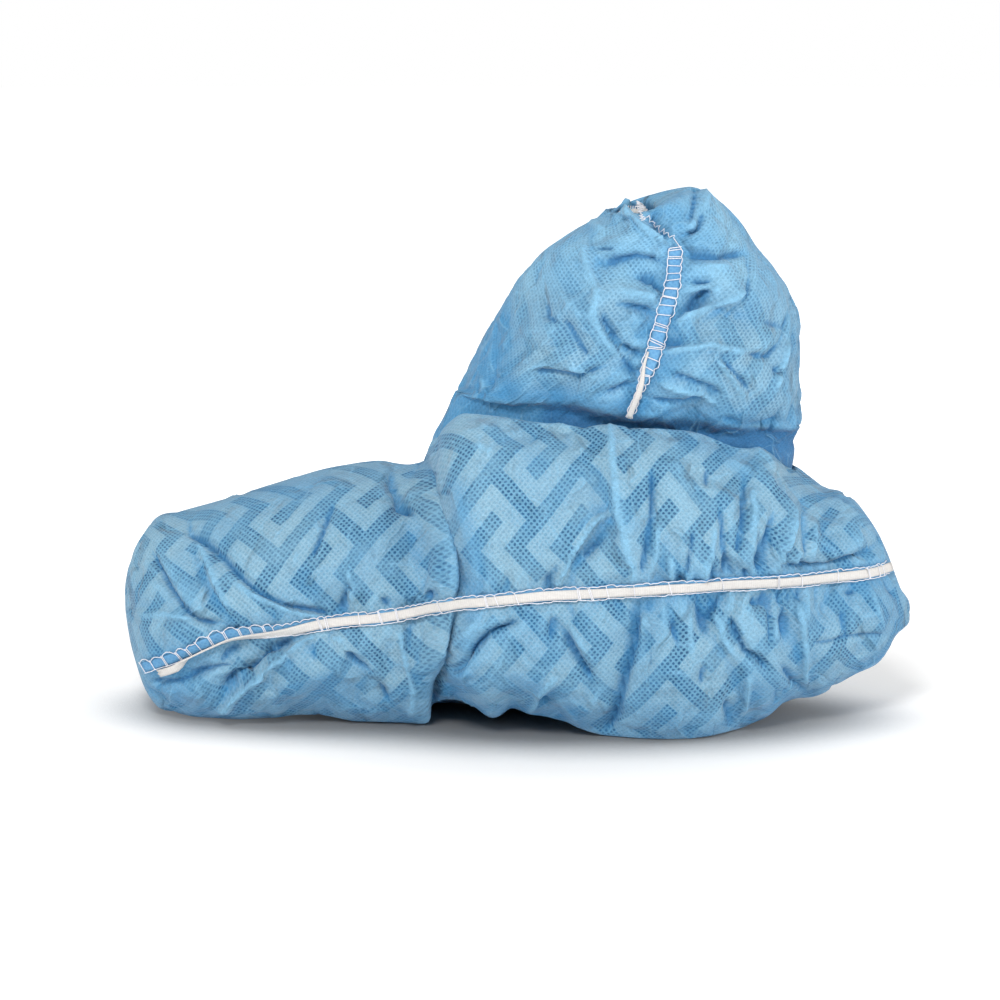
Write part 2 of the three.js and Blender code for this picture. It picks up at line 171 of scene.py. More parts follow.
# step, x, half length, y, half width, z, tilt, dip
ANKLE_RINGS = [
    (0, 46, 86, -1, 37, 121, -4, 0), (1, 46.5, 87.5, -1, 39, 133, -3, 0),
    (2, 48.5, 84.5, -1, 38, 140, -5, 0), (3, 52.7, 83.2, -1, 37, 148.5, -8.5, 0),
    (4, 54.4, 83.6, -1, 46, 152.5, -7.5, 0), (5, 55.6, 81.6, 0, 54.5, 160.5, -5, 0),
    (6, 58.4, 76.8, 0, 60, 176, -1, 0), (7, 62.8, 71.6, 0, 59.5, 193, 0, 0),
    (8, 64, 65.6, 0, 57, 206, 0, 0), (9, 63.5, 57.2, 0, 52, 218, 0, 0),
    (10, 64, 48, 0, 46, 229, 0, 0), (11, 69, 34, 0, 41, 239.5, 2, 1),
    (12, 67.5, 25.5, 0, 36, 247, 4, 2), (13, 62, 20, 0, 31, 250.5, 5, 2),
    (14, 57, 12, 0, 27, 246, 3, 1), (15, 55, 10.5, 0, 25.5, 237, 0, 0),
    (16, 55, 10.5, 0, 26, 227, 0, 0),
]

# how much of a ring's dip the far side has
FAR_DIP = 0.25

# soft folds and creases, as the foot part's
ANKLE_FOLDS = [
    (-1, 40, 222, 68, 218, 8, -6), (-1, 50, 204, 66, 196, 9, -5), (-1, 6, 196, 50, 208, 9, 4),
    (-1, 80, 228, 108, 224, 8, -4), (-1, 82, 206, 124, 196, 8, -5), (-1, 16, 164, 44, 180, 10, -6),
    (-1, 84, 176, 124, 164, 10, 5), (-1, 96, 222, 124, 184, 9, 4), (1, 30, 224, 60, 190, 9, -4),
    (1, 92, 226, 76, 184, 9, 4), (1, 10, 170, 50, 180, 10, 4), (1, 90, 170, 124, 186, 10, -4),
]

ANKLE_CREASES = [
    (-8, 6, (50, 257), (57, 250), (64, 243), (70, 238), (75, 235)),
    (3.5, 4, (45, 253), (54, 245), (63, 237), (71, 231)), (-3.5, 4, (76, 236), (85, 241), (89, 250)),
    (3.0, 5, (73, 197), (84, 202), (97, 208), (109, 212)), (-5.0, 7, (77, 203), (85, 208), (91, 213)),
    (-3.0, 4, (77, 228), (94, 228), (109, 228)), (1.5, 5, (84, 223), (101, 222)),
    (-3.0, 4, (79, 217), (91, 217)), (1.5, 4, (94, 216), (90, 210)),
    (-2.6, 5, (39, 224), (55, 227), (65, 226), (70, 223)), (-3.4, 5, (55, 219), (64, 217), (69, 211)),
    (1.6, 4, (49, 212), (62, 209), (65, 204)), (-3.0, 4, (47, 206), (60, 203), (65, 200)),
    (-3.5, 7, (39, 203), (43, 194), (46, 187)), (-3.8, 5, (46, 188), (52, 184), (60, 183)),
    (-3.2, 5, (46, 184), (53, 175), (61, 171)),
    (2.4, 5, (31, 233), (34, 218), (38, 211), (35, 201), (41, 190), (49, 179)),
    (-1.6, 5, (21, 201), (27, 191), (35, 180)), (1.2, 5, (19, 212), (33, 198)),
    (-2.4, 4, (15, 227), (10, 219), (8, 211)), (1.4, 4, (8, 226), (4, 217)),
    (-1.8, 5, (14, 209), (14, 200), (21, 196)), (-2.0, 5, (6, 173), (28, 172), (40, 177)),
    (-2.2, 5, (39, 164), (52, 168), (60, 163)), (1.6, 5, (21, 178), (40, 171)),
    (-2.2, 5, (64, 188), (77, 189)), (1.6, 5, (67, 184), (89, 187), (108, 183)),
    (-1.8, 5, (106, 183), (118, 181), (125, 188)), (-1.6, 4, (94, 182), (103, 172), (109, 164)),
    (1.6, 3, (91, 182), (100, 171), (107, 161)), (-1.8, 5, (69, 175), (84, 169), (96, 163)),
    (1.5, 4, (64, 170), (84, 164), (94, 158)), (-2.0, 5, (60, 161), (77, 159), (89, 162)),
    (-2.2, 4, (121, 226), (126, 220), (129, 213)), (-2.0, 4, (110, 218), (106, 208)),
    (1.4, 4, (113, 227), (109, 212)), (-1.8, 5, (114, 198), (125, 193), (128, 200)),
    (1.6, 4, (129, 188), (123, 173), (120, 163)), (-1.6, 4, (119, 176), (125, 171)),
    (-2.0, 5, (94, 152), (110, 146), (126, 148)), (-2.2, 4, (85, 259), (83, 250), (79, 242)),
    (1.8, 4, (90, 258), (88, 246)), (-1.6, 4, (65, 259), (69, 254)), (-1.4, 4, (21, 244), (32, 248)),
    (1.2, 4, (19, 235), (35, 240), (45, 237)), (-1.6, 5, (36, 231), (46, 231)),
    (-1.2, 4, (-8, 193), (-12, 173), (-15, 157)), (1.4, 4, (-15, 187), (-18, 171), (-15, 154)),
    (-1.4, 5, (-2, 201), (-6, 188)),
]

# the seam down the near side of the ankle part, as z and x
ANKLE_SEAM = [
    (150, 51), (163, 55.7), (173, 59.5), (180, 62), (188, 64.5),
    (196, 67), (205, 69.5), (217, 73), (236, 73),
]

# the key fret of the cloth: # is a cell full of bond points, and the chart repeats 4 cells lower every 4
# cells across
FRET_CHART = (
    "###...###.#.#.#.",
    "#.........#.#...",
    "#.#########.####",
    "#.#.........#...",
)
FRET_SLOPE = math.radians(50)

# where a corner of the chart lies on the flat cloth, in metres
FRET_ORIGIN = (-0.0015, 0.0245, 0)


class ShoeCoverSettings(bpy.types.PropertyGroup):
    """Sizes and colours that a user of the shoe cover would change."""

    cloth_thickness: FloatProperty(
        name="Cloth Thickness", description="Thickness of the nonwoven", default=0.0004, unit="LENGTH"
    )
    bond_pitch: FloatProperty(
        name="Bond Pitch", description="Distance between bond points", default=0.00254, unit="LENGTH"
    )
    fret_unit: FloatProperty(
        name="Fret Unit", description="Width of one band of the key fret", default=0.0079, unit="LENGTH"
    )
    crumple_growth: FloatProperty(
        name="Crumple", description="Extra cloth that the crumples take up", default=0.022, subtype="FACTOR"
    )
    crumple_limit: FloatProperty(
        name="Crumple Limit",
        description="Furthest that a crumple moves the cloth",
        default=0.003,
        unit="LENGTH",
    )
    tape_width: FloatProperty(
        name="Tape Width", description="Width of the elastic tape", default=0.0043, unit="LENGTH"
    )
    thread_radius: FloatProperty(
        name="Thread Radius", description="Radius of the overlock thread", default=0.00022, unit="LENGTH"
    )
    plain_colour: FloatVectorProperty(
        name="Plain Cloth",
        description="Cloth between the fret's bands",
        subtype="COLOR",
        default=(0.215, 0.370, 0.480),
    )
    faint_colour: FloatVectorProperty(
        name="Faint Bond Points",
        description="Bond points between the bands",
        subtype="COLOR",
        default=(0.142, 0.300, 0.415),
    )
    band_colour: FloatVectorProperty(
        name="Bands",
        description="Cloth in the fret's bands",
        subtype="COLOR",
        default=(0.116, 0.286, 0.424),
    )
    bond_colour: FloatVectorProperty(
        name="Bond Points",
        description="Bond points in the fret's bands",
        subtype="COLOR",
        default=(0.013, 0.072, 0.168),
    )
    # the bluer colour of double layers, and painted shade in folds, hollows, undersides and recesses
    layer_and_shade_colour: FloatVectorProperty(
        name="Double Layers and Fold Shade",
        description="Cloth deep in the folds",
        subtype="COLOR",
        default=(0.038, 0.215, 0.43),
    )
    # painted highlight along the crests of folds, creases and crinkles
    crest_highlight_colour: FloatVectorProperty(
        name="Crest Highlights",
        description="Cloth along the crests of the folds",
        subtype="COLOR",
        default=(0.190, 0.410, 0.590),
    )
    tape_colour: FloatVectorProperty(
        name="Tape",
        description="Elastic tape",
        subtype="COLOR",
        default=(0.66, 0.635, 0.61),
    )
    thread_colour: FloatVectorProperty(
        name="Thread",
        description="Overlock thread",
        subtype="COLOR",
        default=(0.80, 0.80, 0.84),
    )


def settings():
    return bpy.context.scene.shoe_cover


# ---------------------------------------------------------------- shared arithmetic


def smooth_row(table, at):
    """The columns after the first, at each place along the first, on a curve through the rows."""
    rows = np.array(table, float)
    keys, values = rows[:, 0], rows[:, 1:]
    at = np.clip(np.asarray(at, float), keys[0], keys[-1])
    low = np.clip(np.searchsorted(keys, at, side="right") - 1, 0, len(keys) - 2)
    slopes = np.empty_like(values)
    slopes[1:-1] = (values[2:] - values[:-2]) / (keys[2:] - keys[:-2])[:, None]
    slopes[0] = (values[1] - values[0]) / (keys[1] - keys[0])
    slopes[-1] = (values[-1] - values[-2]) / (keys[-1] - keys[-2])
    gap = (keys[low + 1] - keys[low])[:, None]
    t = ((at - keys[low]) / (keys[low + 1] - keys[low]))[:, None]
    return (
        (2 * t**3 - 3 * t**2 + 1) * values[low]
        + (t**3 - 2 * t**2 + t) * gap * slopes[low]
        + (3 * t**2 - 2 * t**3) * values[low + 1]
        + (t**3 - t**2) * gap * slopes[low + 1]
    )


def curve_at(table, at):
    """The second column of a table of two, at each place along the first, on a curve through the rows."""
    return smooth_row(table, at)[:, 0]


def smoothstep(value, start, end):
    """0 before the start and 1 after the end."""
    t = np.clip((value - start) / (end - start), 0, 1)
    return t * t * (3 - 2 * t)


def fade(value, start, end):
    """1 before the start and 0 after the end."""
    return 1 - smoothstep(value, start, end)


def bell(distance, width):
    """1 at no distance, falling off on both sides."""
    return np.exp(-((distance / width) ** 2))


def full(value, fullness):
    """A cosine or sine turned into the outline of a fuller oval."""
    return np.sign(value) * np.abs(value) ** (2 / fullness)


def distance_to_line(x, z, x0, z0, x1, z1):
    """Distance in the side view from each point to a straight fold line."""
    dx, dz = x1 - x0, z1 - z0
    t = np.clip(((x - x0) * dx + (z - z0) * dz) / (dx * dx + dz * dz), 0, 1)
    return np.hypot(x - x0 - t * dx, z - z0 - t * dz)


def fold_rise(folds, side, x, z):
    """How far the folds of each point's side lift the cloth there."""
    rise = np.zeros_like(x)
    for fold_side, x0, z0, x1, z1, width, height in folds:
        here = side == fold_side
        away = distance_to_line(x[here], z[here], x0, z0, x1, z1)
        rise[here] += height * bell(away, width)
    return rise


def run_of(points):
    """How far along a line each of its points is, starting at 0."""
    return np.concatenate([[0], np.cumsum(np.linalg.norm(np.diff(points, axis=0), axis=1))])


def end_rounding(x):
    """1 along the foot part, and down to 0 at its two rounded ends."""
    toe = np.clip((x + HALF_LENGTH) / TOE_ROUND, 0, 1)
    heel = np.clip((HALF_LENGTH - x) / HEEL_ROUND, 0, 1)
    return np.sqrt(1 - (1 - toe) ** 2) * np.sqrt(1 - (1 - heel) ** 2)


# ---------------------------------------------------------------- the foot part


def foot_form(x, around):
    """Points of the foot part; around is 0 at the sole and grows by way of the near side and the top."""
    middle, half_depth, centre, half_height, fullness = smooth_row(FOOT_SECTIONS, x).T
    end = end_rounding(x)
    out = full(-np.sin(around), fullness)
    up = full(-np.cos(around), fullness)
    y = middle + half_depth * end * out
    z = centre + half_height * end * up
    side = np.where(y < middle, NEAR, FAR)
    rise = fold_rise(FOOT_FOLDS, side, x, z) * np.abs(out) * end
    lap, shove = instep_lap(x, z, side, np.abs(out))
    dent = seam_dent(x, z, side)
    push = rise + lap - dent
    y = y + push * out
    z = np.maximum(z + push * up * 0.5, 0)
    z = z + floor_lift(x, y) * fade(z, 0, 42)
    x, y, z = sink_valley(x + shove, y, z)
    return np.stack([x, y, z], axis=1)


def floor_lift(x, y):
    """How far the near side's lower edge stands off the floor."""
    return np.maximum(curve_at(LIFT_LINE, x), 0) * fade(y, -32, 30)


def instep_lap(x, z, side, sideways):
    """The toe's cloth folds up into a crest along the lap line and drops behind it."""
    line = curve_at(LAP_LINE, z)
    seam = curve_at(FOOT_SEAM, x)
    strength = np.where(side < 0, 1, 0.6) * np.clip(sideways * 1.6, 0, 1) * fade(z, 122, 134)
    strength = strength * (1 - 0.55 * bell(z - seam, 7))
    away = x - line
    crest = 3.6 * bell(away + 1, 3.2)
    trough = -11 * bell(away - 5, 5)
    lean = 5.5 * bell(away + 0.5, 3.6)
    return (crest + trough) * strength, lean * strength


def seam_dent(x, z, side):
    """The elastic tape pulls the near side in along a shallow furrow."""
    seam = curve_at(FOOT_SEAM, x)
    depth = 3.5 * bell(z - seam, 9)
    return np.where(side < 0, depth, 0) * smoothstep(x, -186, -160)


def oval_share(oval, x, y):
    """How far out each point is in an oval about the hollow's middle: 0 in the middle and 1 on the oval."""
    return np.hypot((x - VALLEY["x"]) / oval["half_length"], (y - VALLEY["y"]) / oval["half_width"])


def sink_valley(x, y, z):
    """Presses the top of the foot part down into the hollow that the ankle part stands in."""
    across = oval_share(VALLEY, x, y)
    level = VALLEY["level"] + VALLEY["slope"] * (x - VALLEY["x"])
    top = z > level - 12
    sunk = fade(across, 0.78, 1.08)
    wall = np.where((across < 1.08) & (across > 0.5), 0.16 * np.sin((across - 0.5) / 0.58 * np.pi), 0)
    scale = np.where(top, 1 + wall / np.maximum(across, 0.1) * sunk, 1)
    z = np.where(top, z + (np.minimum(z, level) - z) * sunk, z)
    return VALLEY["x"] + (x - VALLEY["x"]) * scale, VALLEY["y"] + (y - VALLEY["y"]) * scale, z


# cuts of the foot part's grid, along it and across each of its faces
LONG_CUTS = 96
ROUND_CUTS = 27


def foot_rings(bm):
    """Cuts a 2 m cube into a grid and returns each vertex's place along the foot part and around it.

    The grid is finer at the instep fold and along the near side, where the creases are sharpest.
    """
    for axis, cuts in ((0, LONG_CUTS), (1, ROUND_CUTS), (2, ROUND_CUTS)):
        edges = [e for e in bm.edges if abs((e.verts[0].co - e.verts[1].co)[axis]) > 1e-4]
        bmesh.ops.subdivide_edges(bm, edges=edges, cuts=cuts, use_grid_fill=True)
    co = np.array([v.co for v in bm.verts])
    reach = np.maximum(np.abs(co[:, 1]), np.abs(co[:, 2]))
    toe_start, heel_start = TOE_ROUND - HALF_LENGTH, HALF_LENGTH - HEEL_ROUND
    crowded = np.linspace(-1, 1, 401)
    at = toe_start + (heel_start - toe_start) * (crowded + 1) / 2
    density = 1 + bell(at + 37, 15)
    share = np.concatenate([[0], np.cumsum((density[1:] + density[:-1]) / 2)])
    x = np.interp((co[:, 0] + 1) / 2, share / share[-1], at)
    cap = np.cos(np.clip(reach, 0, 1) * math.pi / 2)
    x = np.where(co[:, 0] < -1 + 1e-5, toe_start - TOE_ROUND * cap, x)
    x = np.where(co[:, 0] > 1 - 1e-5, heel_start + HEEL_ROUND * cap, x)
    y, z = co[:, 1] / np.maximum(reach, 1e-9), co[:, 2] / np.maximum(reach, 1e-9)
    vertical = np.abs(z) >= np.abs(y)
    turn = np.where(vertical, y * math.pi / 4, z * math.pi / 4)
    around = np.where(
        vertical,
        np.where(z < 0, -turn, math.pi + turn),
        np.where(y < 0, math.pi / 2 + turn, -math.pi / 2 - turn),
    )
    around = around % (2 * math.pi)
    fine = np.linspace(0, 2 * math.pi, 721)
    crowding = 1 + 0.38 * np.sin(fine) - 0.3 * np.cos(fine)
    share = np.concatenate([[0], np.cumsum(1 / crowding[1:])])
    return x, np.interp(around, fine, share / share[-1] * 2 * math.pi)


def length_along(x):
    """Millimetres of cloth from the foot part's middle, more than x where the cloth rounds the two ends."""
    fine = np.linspace(-HALF_LENGTH, HALF_LENGTH, 1200)
    sides = [foot_form(fine, np.full(len(fine), turn)) for turn in (math.pi / 2, 3 * math.pi / 2)]
    steps = np.mean([np.linalg.norm(np.diff(side, axis=0), axis=1) for side in sides], axis=0)
    middles = (fine[1:] + fine[:-1]) / 2
    steps = np.where(np.abs(middles) > 150, steps, np.diff(fine))
    run = np.concatenate([[0], np.cumsum(steps)])
    return np.interp(x, fine, run - np.interp(0, fine, run))


def foot_cloth_coordinates(x, around):
    """Metres along the foot part, and round it from the tape's seam, where the flat cloth was printed."""
    steps = np.linspace(0, 2 * math.pi, 97)
    stations = np.linspace(-HALF_LENGTH, HALF_LENGTH, 78)
    lengths = np.empty((len(stations), len(steps)))
    for k, station in enumerate(stations):
        # just inside the two ends, where the ring would be a point
        ring = foot_form(np.full(len(steps), station * 0.985), steps)
        run = run_of(ring)
        seam = curve_at(FOOT_SEAM, [station])[0]
        near = (steps > 0.3) & (steps < 2.8)
        zero = np.interp(seam, ring[near, 2], run[near])
        lengths[k] = run - zero
    along = np.interp(x, stations, np.arange(len(stations)))
    low = np.clip(along.astype(int), 0, len(stations) - 2)
    part = along - low
    turned = around / (2 * math.pi) * (len(steps) - 1)
    left = np.clip(turned.astype(int), 0, len(steps) - 2)
    across = turned - left
    first = lengths[low, left] * (1 - across) + lengths[low, left + 1] * across
    second = lengths[low + 1, left] * (1 - across) + lengths[low + 1, left + 1] * across
    whole = np.interp(x, stations, lengths[:, -1] - lengths[:, 0])
    return length_along(x) * MM, (first * (1 - part) + second * part) * MM, whole * MM


# ---------------------------------------------------------------- the ankle part


# cells of the ankle part's grid, up it and round it
RING_CUTS = 60
AROUND_CUTS = 126


def ankle_form(step, around):
    """Points of the ankle part; around is 0 at the heel and a quarter turn at the far side."""
    ring_x, half_length, ring_y, half_width, ring_z, tilt, dip = smooth_row(ANKLE_RINGS, step).T
    cosine, sine = np.cos(around), np.sin(around)
    x = ring_x + half_length * cosine
    z = ring_z + tilt * cosine - dip * np.where(sine < 0, 1, FAR_DIP) * sine**2
    side = np.where(sine < 0, NEAR, FAR)
    held = np.abs(sine) * smoothstep(step, 3, 5) * fade(step, 11, 13)
    rise = fold_rise(ANKLE_FOLDS, side, x, z) * held
    seam = curve_at(ANKLE_SEAM, z)
    furrow = 5 * bell(x - seam, 8) * smoothstep(step, 3.5, 5) * fade(step, 11.5, 13)
    rise -= np.where(side < 0, furrow, 0)
    return np.stack([x + rise * cosine, ring_y + (half_width + rise) * sine, z], axis=1)


def ankle_steps(count):
    """Ring steps an equal way apart along the ankle part's height."""
    fine = np.linspace(0, len(ANKLE_RINGS) - 1, 400)
    points = [ankle_form(fine, np.full(len(fine), turn)) for turn in (0, 1.6, 3.1, 4.7)]
    gaps = np.mean([np.linalg.norm(np.diff(p, axis=0), axis=1) for p in points], axis=0)
    run = np.concatenate([[0], np.cumsum(gaps)])
    return np.interp(np.linspace(0, run[-1], count), run, fine), run[-1]


# ---------------------------------------------------------------- making and crumpling cloth


def read(items, name, width, kind=np.float32):
    """One value, or a row of values, of each item of a mesh."""
    flat = np.empty(len(items) * width, kind)
    items.foreach_get(name, flat)
    return flat.reshape(-1, width) if width > 1 else flat


def positions(mesh):
    return read(mesh.vertices, "co", 3).astype(float)


def place(mesh, points):
    mesh.vertices.foreach_set("co", np.asarray(points, np.float32).ravel())
    mesh.update()


def normals_of(mesh):
    return read(mesh.vertex_normals, "vector", 3).astype(float)


def neighbour_mean(mesh, values, rounds):
    """Each vertex's value averaged with its neighbours', a number of times."""
    ends = read(mesh.edges, "vertices", 2, np.int32)
    count = np.zeros(len(mesh.vertices))
    np.add.at(count, ends.ravel(), 1)
    shape = (-1,) + (1,) * (values.ndim - 1)
    for _ in range(rounds):
        total = np.zeros_like(values)
        np.add.at(total, ends[:, 0], values[ends[:, 1]])
        np.add.at(total, ends[:, 1], values[ends[:, 0]])
        values = 0.5 * values + 0.5 * total / np.maximum(count, 1).reshape(shape)
    return values


def mesh_of(bm, name):
    mesh = bpy.data.meshes.new(name)
    bm.to_mesh(mesh)
    bm.free()
    return mesh


def new_piece(name, mesh):
    piece = bpy.data.objects.new(name, mesh)
    bpy.context.scene.collection.objects.link(piece)
    mesh.shade_smooth()
    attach(piece, "root")
    return piece


def hold(piece, weights):
    """Puts each vertex's hold, from 0 to 1, in a vertex group."""
    group = piece.vertex_groups.new(name="held")
    levels = np.round(np.clip(weights, 0, 1) * 20).astype(int)
    for level in np.unique(levels[levels > 0]):
        group.add(np.nonzero(levels == level)[0].tolist(), level / 20, "REPLACE")
    return group


def crumple(piece, held, growth, limit, pressure, bending, frames):
    """Lets a cloth with more material than its form buckle into crumples, and applies the result."""
    before = positions(piece.data)
    group = hold(piece, held)
    cloth = piece.modifiers.new("crumple", "CLOTH")
    rules = cloth.settings
    rules.quality = 6
    rules.mass = 0.05
    rules.tension_stiffness = 20
    rules.compression_stiffness = 20
    rules.shear_stiffness = 8
    rules.bending_stiffness = bending
    rules.air_damping = 2
    rules.vertex_group_mass = group.name
    rules.shrink_min = -growth
    rules.use_pressure = pressure > 0
    rules.uniform_pressure_force = pressure
    rules.effector_weights.gravity = 0
    cloth.collision_settings.use_collision = False
    scene = bpy.context.scene
    for number in range(1, frames + 1):
        scene.frame_set(number)
    settled = piece.evaluated_get(bpy.context.evaluated_depsgraph_get())
    moves = positions(settled.data) - before
    piece.modifiers.remove(cloth)
    piece.vertex_groups.clear()
    scene.frame_set(1)
    size = np.linalg.norm(moves, axis=1, keepdims=True)
    place(piece.data, before + moves * limit / np.maximum(size, 1e-9) * np.tanh(size / limit))


def crumple_whole(piece, held):
    """Buckles a whole part that is a little puffed up by air."""
    sizes = settings()
    crumple(piece, held, sizes.crumple_growth, sizes.crumple_limit, pressure=0.6, bending=0.06, frames=20)


def refine(piece):
    """Doubles the cloth's grid along a smooth surface."""
    finer = piece.modifiers.new("finer", "SUBSURF")
    finer.levels = finer.render_levels = 1
    evaluated = piece.evaluated_get(bpy.context.evaluated_depsgraph_get())
    mesh = bpy.data.meshes.new_from_object(evaluated)
    piece.modifiers.remove(finer)
    piece.vertex_groups.clear()
    mesh.name = piece.name
    piece.data = mesh
    mesh.shade_smooth()


# how much taller the creases are made than their tables say, and half the width of the line along one
CREASE_GAIN = 1.7
LINE_HALF = 3.2


def crease_rise(table, first, second):
    """How far the creases of a table lift each point, given its two coordinates in millimetres.

    Also returns how near each point is to a crease's line, from 0 to 1, or to -1 at one that sinks in.
    A crease is a sharp ridge with a small round tip, and is lower at its two ends.
    """
    rise, line = np.zeros_like(first), np.zeros_like(first)
    for height, width, *stops in table:
        near = np.full_like(first, np.inf)
        along = np.zeros_like(first)
        run = 0
        for (x0, z0), (x1, z1) in zip(stops, stops[1:]):
            dx, dz = x1 - x0, z1 - z0
            length = math.hypot(dx, dz)
            t = np.clip(((first - x0) * dx + (second - z0) * dz) / length**2, 0, 1)
            away = np.hypot(first - x0 - t * dx, second - z0 - t * dz)
            along = np.where(away < near, run + t * length, along)
            near = np.minimum(near, away)
            run += length
        ends = np.minimum(along, run - along) / min(6, run / 3)
        sharp = np.exp(-(np.sqrt(near**2 + 0.15) - 0.39) / (width * 0.36))
        rise += CREASE_GAIN * height * sharp * (0.25 + 0.75 * np.clip(ends, 0, 1))
        close = np.clip(1 - near / LINE_HALF, 0, 1) * np.clip(ends * 1.5, 0, 1) * min(1, abs(height) / 1.5)
        line = np.where(close > np.abs(line), close * np.sign(height), line)
    return rise, line


def stronger(first, second):
    return np.where(np.abs(second) > np.abs(first), second, first)


def mark(mesh, name, values, low=0):
    """Stores a value from low to 1 at each vertex, for the material to read."""
    made = mesh.attributes.new(name, "FLOAT", "POINT")
    made.data.foreach_set("value", np.clip(values, low, 1).astype(np.float32))


def stray_creases(seed, count, width, height, lengths):
    """Random creases over a sheet, mostly up and down it, with more that sink in than stand up."""
    dice = np.random.default_rng(seed)
    table = []
    for _ in range(count):
        x, z = dice.uniform(-width / 2, width / 2), dice.uniform(-height / 2, height / 2)
        length, turn = dice.uniform(*lengths), dice.normal(0, 0.6)
        dx, dz = length * math.sin(turn), length * math.cos(turn)
        bend = dice.uniform(-0.12, 0.12)
        size = dice.uniform(0.4, 1) * dice.choice((-1, -1, 1))
        middle = (x + dx / 2 + bend * dz, z + dz / 2 - bend * dx)
        table.append((size, dice.uniform(2.2, 4.5), (x, z), middle, (x + dx, z + dz)))
    return table


def cloth_places(mesh):
    """Each vertex's place on the flat cloth, in millimetres."""
    places = np.zeros((len(mesh.vertices), 2))
    places[read(mesh.loops, "vertex_index", 1, np.int32)] = read(mesh.uv_layers["Cloth"].uv, "vector", 2)
    return places / MM


def mark_crests(mesh):
    """Stores how far each vertex stands above (1) or below (-1) the cloth around it."""
    points = positions(mesh)
    lift = ((points - neighbour_mean(mesh, points, 8)) * normals_of(mesh)).sum(axis=1)
    lift = neighbour_mean(mesh, lift, 1)
    mark(mesh, "crest", lift / (0.8 * MM), -1)


def facing(normals, side):
    """1 where the cloth faces a side, and 0 where it turns away from it."""
    return np.clip(side * normals[:, 1] * 1.8 - 0.2, 0, 1)


def thicken(piece, thickness, offset=-1):
    """Gives a sheet its thickness: inwards at an offset of -1, and both ways at 0."""
    wall = piece.modifiers.new("thickness", "SOLIDIFY")
    wall.thickness = thickness
    wall.offset = offset


def gather_wave(along):
    """Uneven small gathers along a seam, from -1 to 1."""
    return 0.55 * np.sin(along / 1.45) + 0.3 * np.sin(along / 2.3 + 1.7) + 0.25 * np.sin(along / 0.93 + 0.6)


def write_cloth_coordinates(bm, u, v, whole=None):
    """Writes metres on the flat cloth to the UV map, without a jump inside a face."""
    layer = bm.loops.layers.uv.new("Cloth")
    for face in bm.faces:
        first = v[face.verts[0].index]
        for loop in face.loops:
            k = loop.vert.index
            turns = 0 if whole is None else round((first - v[k]) / whole[k])
            loop[layer].uv = (u[k], v[k] + (0 if whole is None else turns * whole[k]))


# ---------------------------------------------------------------- following the cloth


def cloth_tree(piece):
    mesh = piece.data
    polygons = [p.vertices[:] for p in mesh.polygons]
    return BVHTree.FromPolygons([v.co for v in mesh.vertices], polygons)


def running_mean(values, rounds):
    for _ in range(rounds):
        inner = (values[:-2] + 2 * values[1:-1] + values[2:]) / 4
        values = np.concatenate([values[:1], inner, values[-1:]])
    return values


def line_on_cloth(piece, x, z, smoothing):
    """Points, normals and the way across for a line laid on the near side of the cloth."""
    tree = cloth_tree(piece)
    points, normals = [], []
    for px, pz in zip(x * MM, z * MM):
        hit, normal, _, _ = tree.ray_cast(Vector((px, -1, pz)), Vector((0, 1, 0)))
        if hit is None and points:
            hit, normal = Vector((px, points[-1].y, pz)), normals[-1]
        elif hit is None:
            hit, normal, _, _ = tree.find_nearest(Vector((px, -0.05, pz)))
        points.append(hit)
        normals.append(normal if normal.y < 0 else -normal)
    points = np.array(points)
    points[:, 1] = running_mean(points[:, 1], smoothing)
    normals = running_mean(np.array(normals), smoothing * 3)
    tangents = np.gradient(points, axis=0)
    tangents /= np.linalg.norm(tangents, axis=1, keepdims=True)
    across = np.cross(normals, tangents)
    across /= np.linalg.norm(across, axis=1, keepdims=True)
    normals = np.cross(tangents, across)
    return points, normals, across


def rows_beside(line, side, out):
    """Rows of points across a line on the cloth: side along the cloth and out from it, in millimetres."""
    points, normals, across = line
    rows = points[:, None] + across[:, None] * (side * MM)[..., None]
    return rows + normals[:, None] * (out * MM)[..., None]


def in_front(tree, rows, gap):
    """Moves points of the near side's trim outwards until they clear the cloth by a gap in millimetres."""
    rows = np.array(rows, float)
    for point in rows.reshape(-1, 3):
        hit = tree.ray_cast(Vector((point[0], -1, point[2])), Vector((0, 1, 0)))[0]
        if hit is not None:
            point[1] = min(point[1], hit.y - gap * MM)
    return rows


# the width of cloth that a ribbon's UV map gives each side of its middle, in metres
RIBBON_HALF = 0.003


def ribbon(name, rows, thickness, material):
    """A strip through rows of points: rows is an array of stations by places across."""
    bm = bmesh.new()
    stations, places = rows.shape[:2]
    bmesh.ops.create_grid(bm, x_segments=stations - 1, y_segments=places - 1, size=1)
    bm.verts.ensure_lookup_table()
    layer = bm.loops.layers.uv.new("Cloth")
    along = run_of(rows[:, places // 2])
    across = np.linspace(-1, 1, places) * RIBBON_HALF
    index = {}
    for vert in bm.verts:
        station = round((vert.co.x + 1) / 2 * (stations - 1))
        index[vert.index] = (station, round((vert.co.y + 1) / 2 * (places - 1)))
    for face in bm.faces:
        for loop in face.loops:
            station, place_across = index[loop.vert.index]
            loop[layer].uv = (along[station], across[place_across])
    for vert in bm.verts:
        vert.co = rows[index[vert.index]]
    piece = new_piece(name, mesh_of(bm, name))
    thicken(piece, thickness, offset=0)
    piece.data.materials.append(material)
    return piece


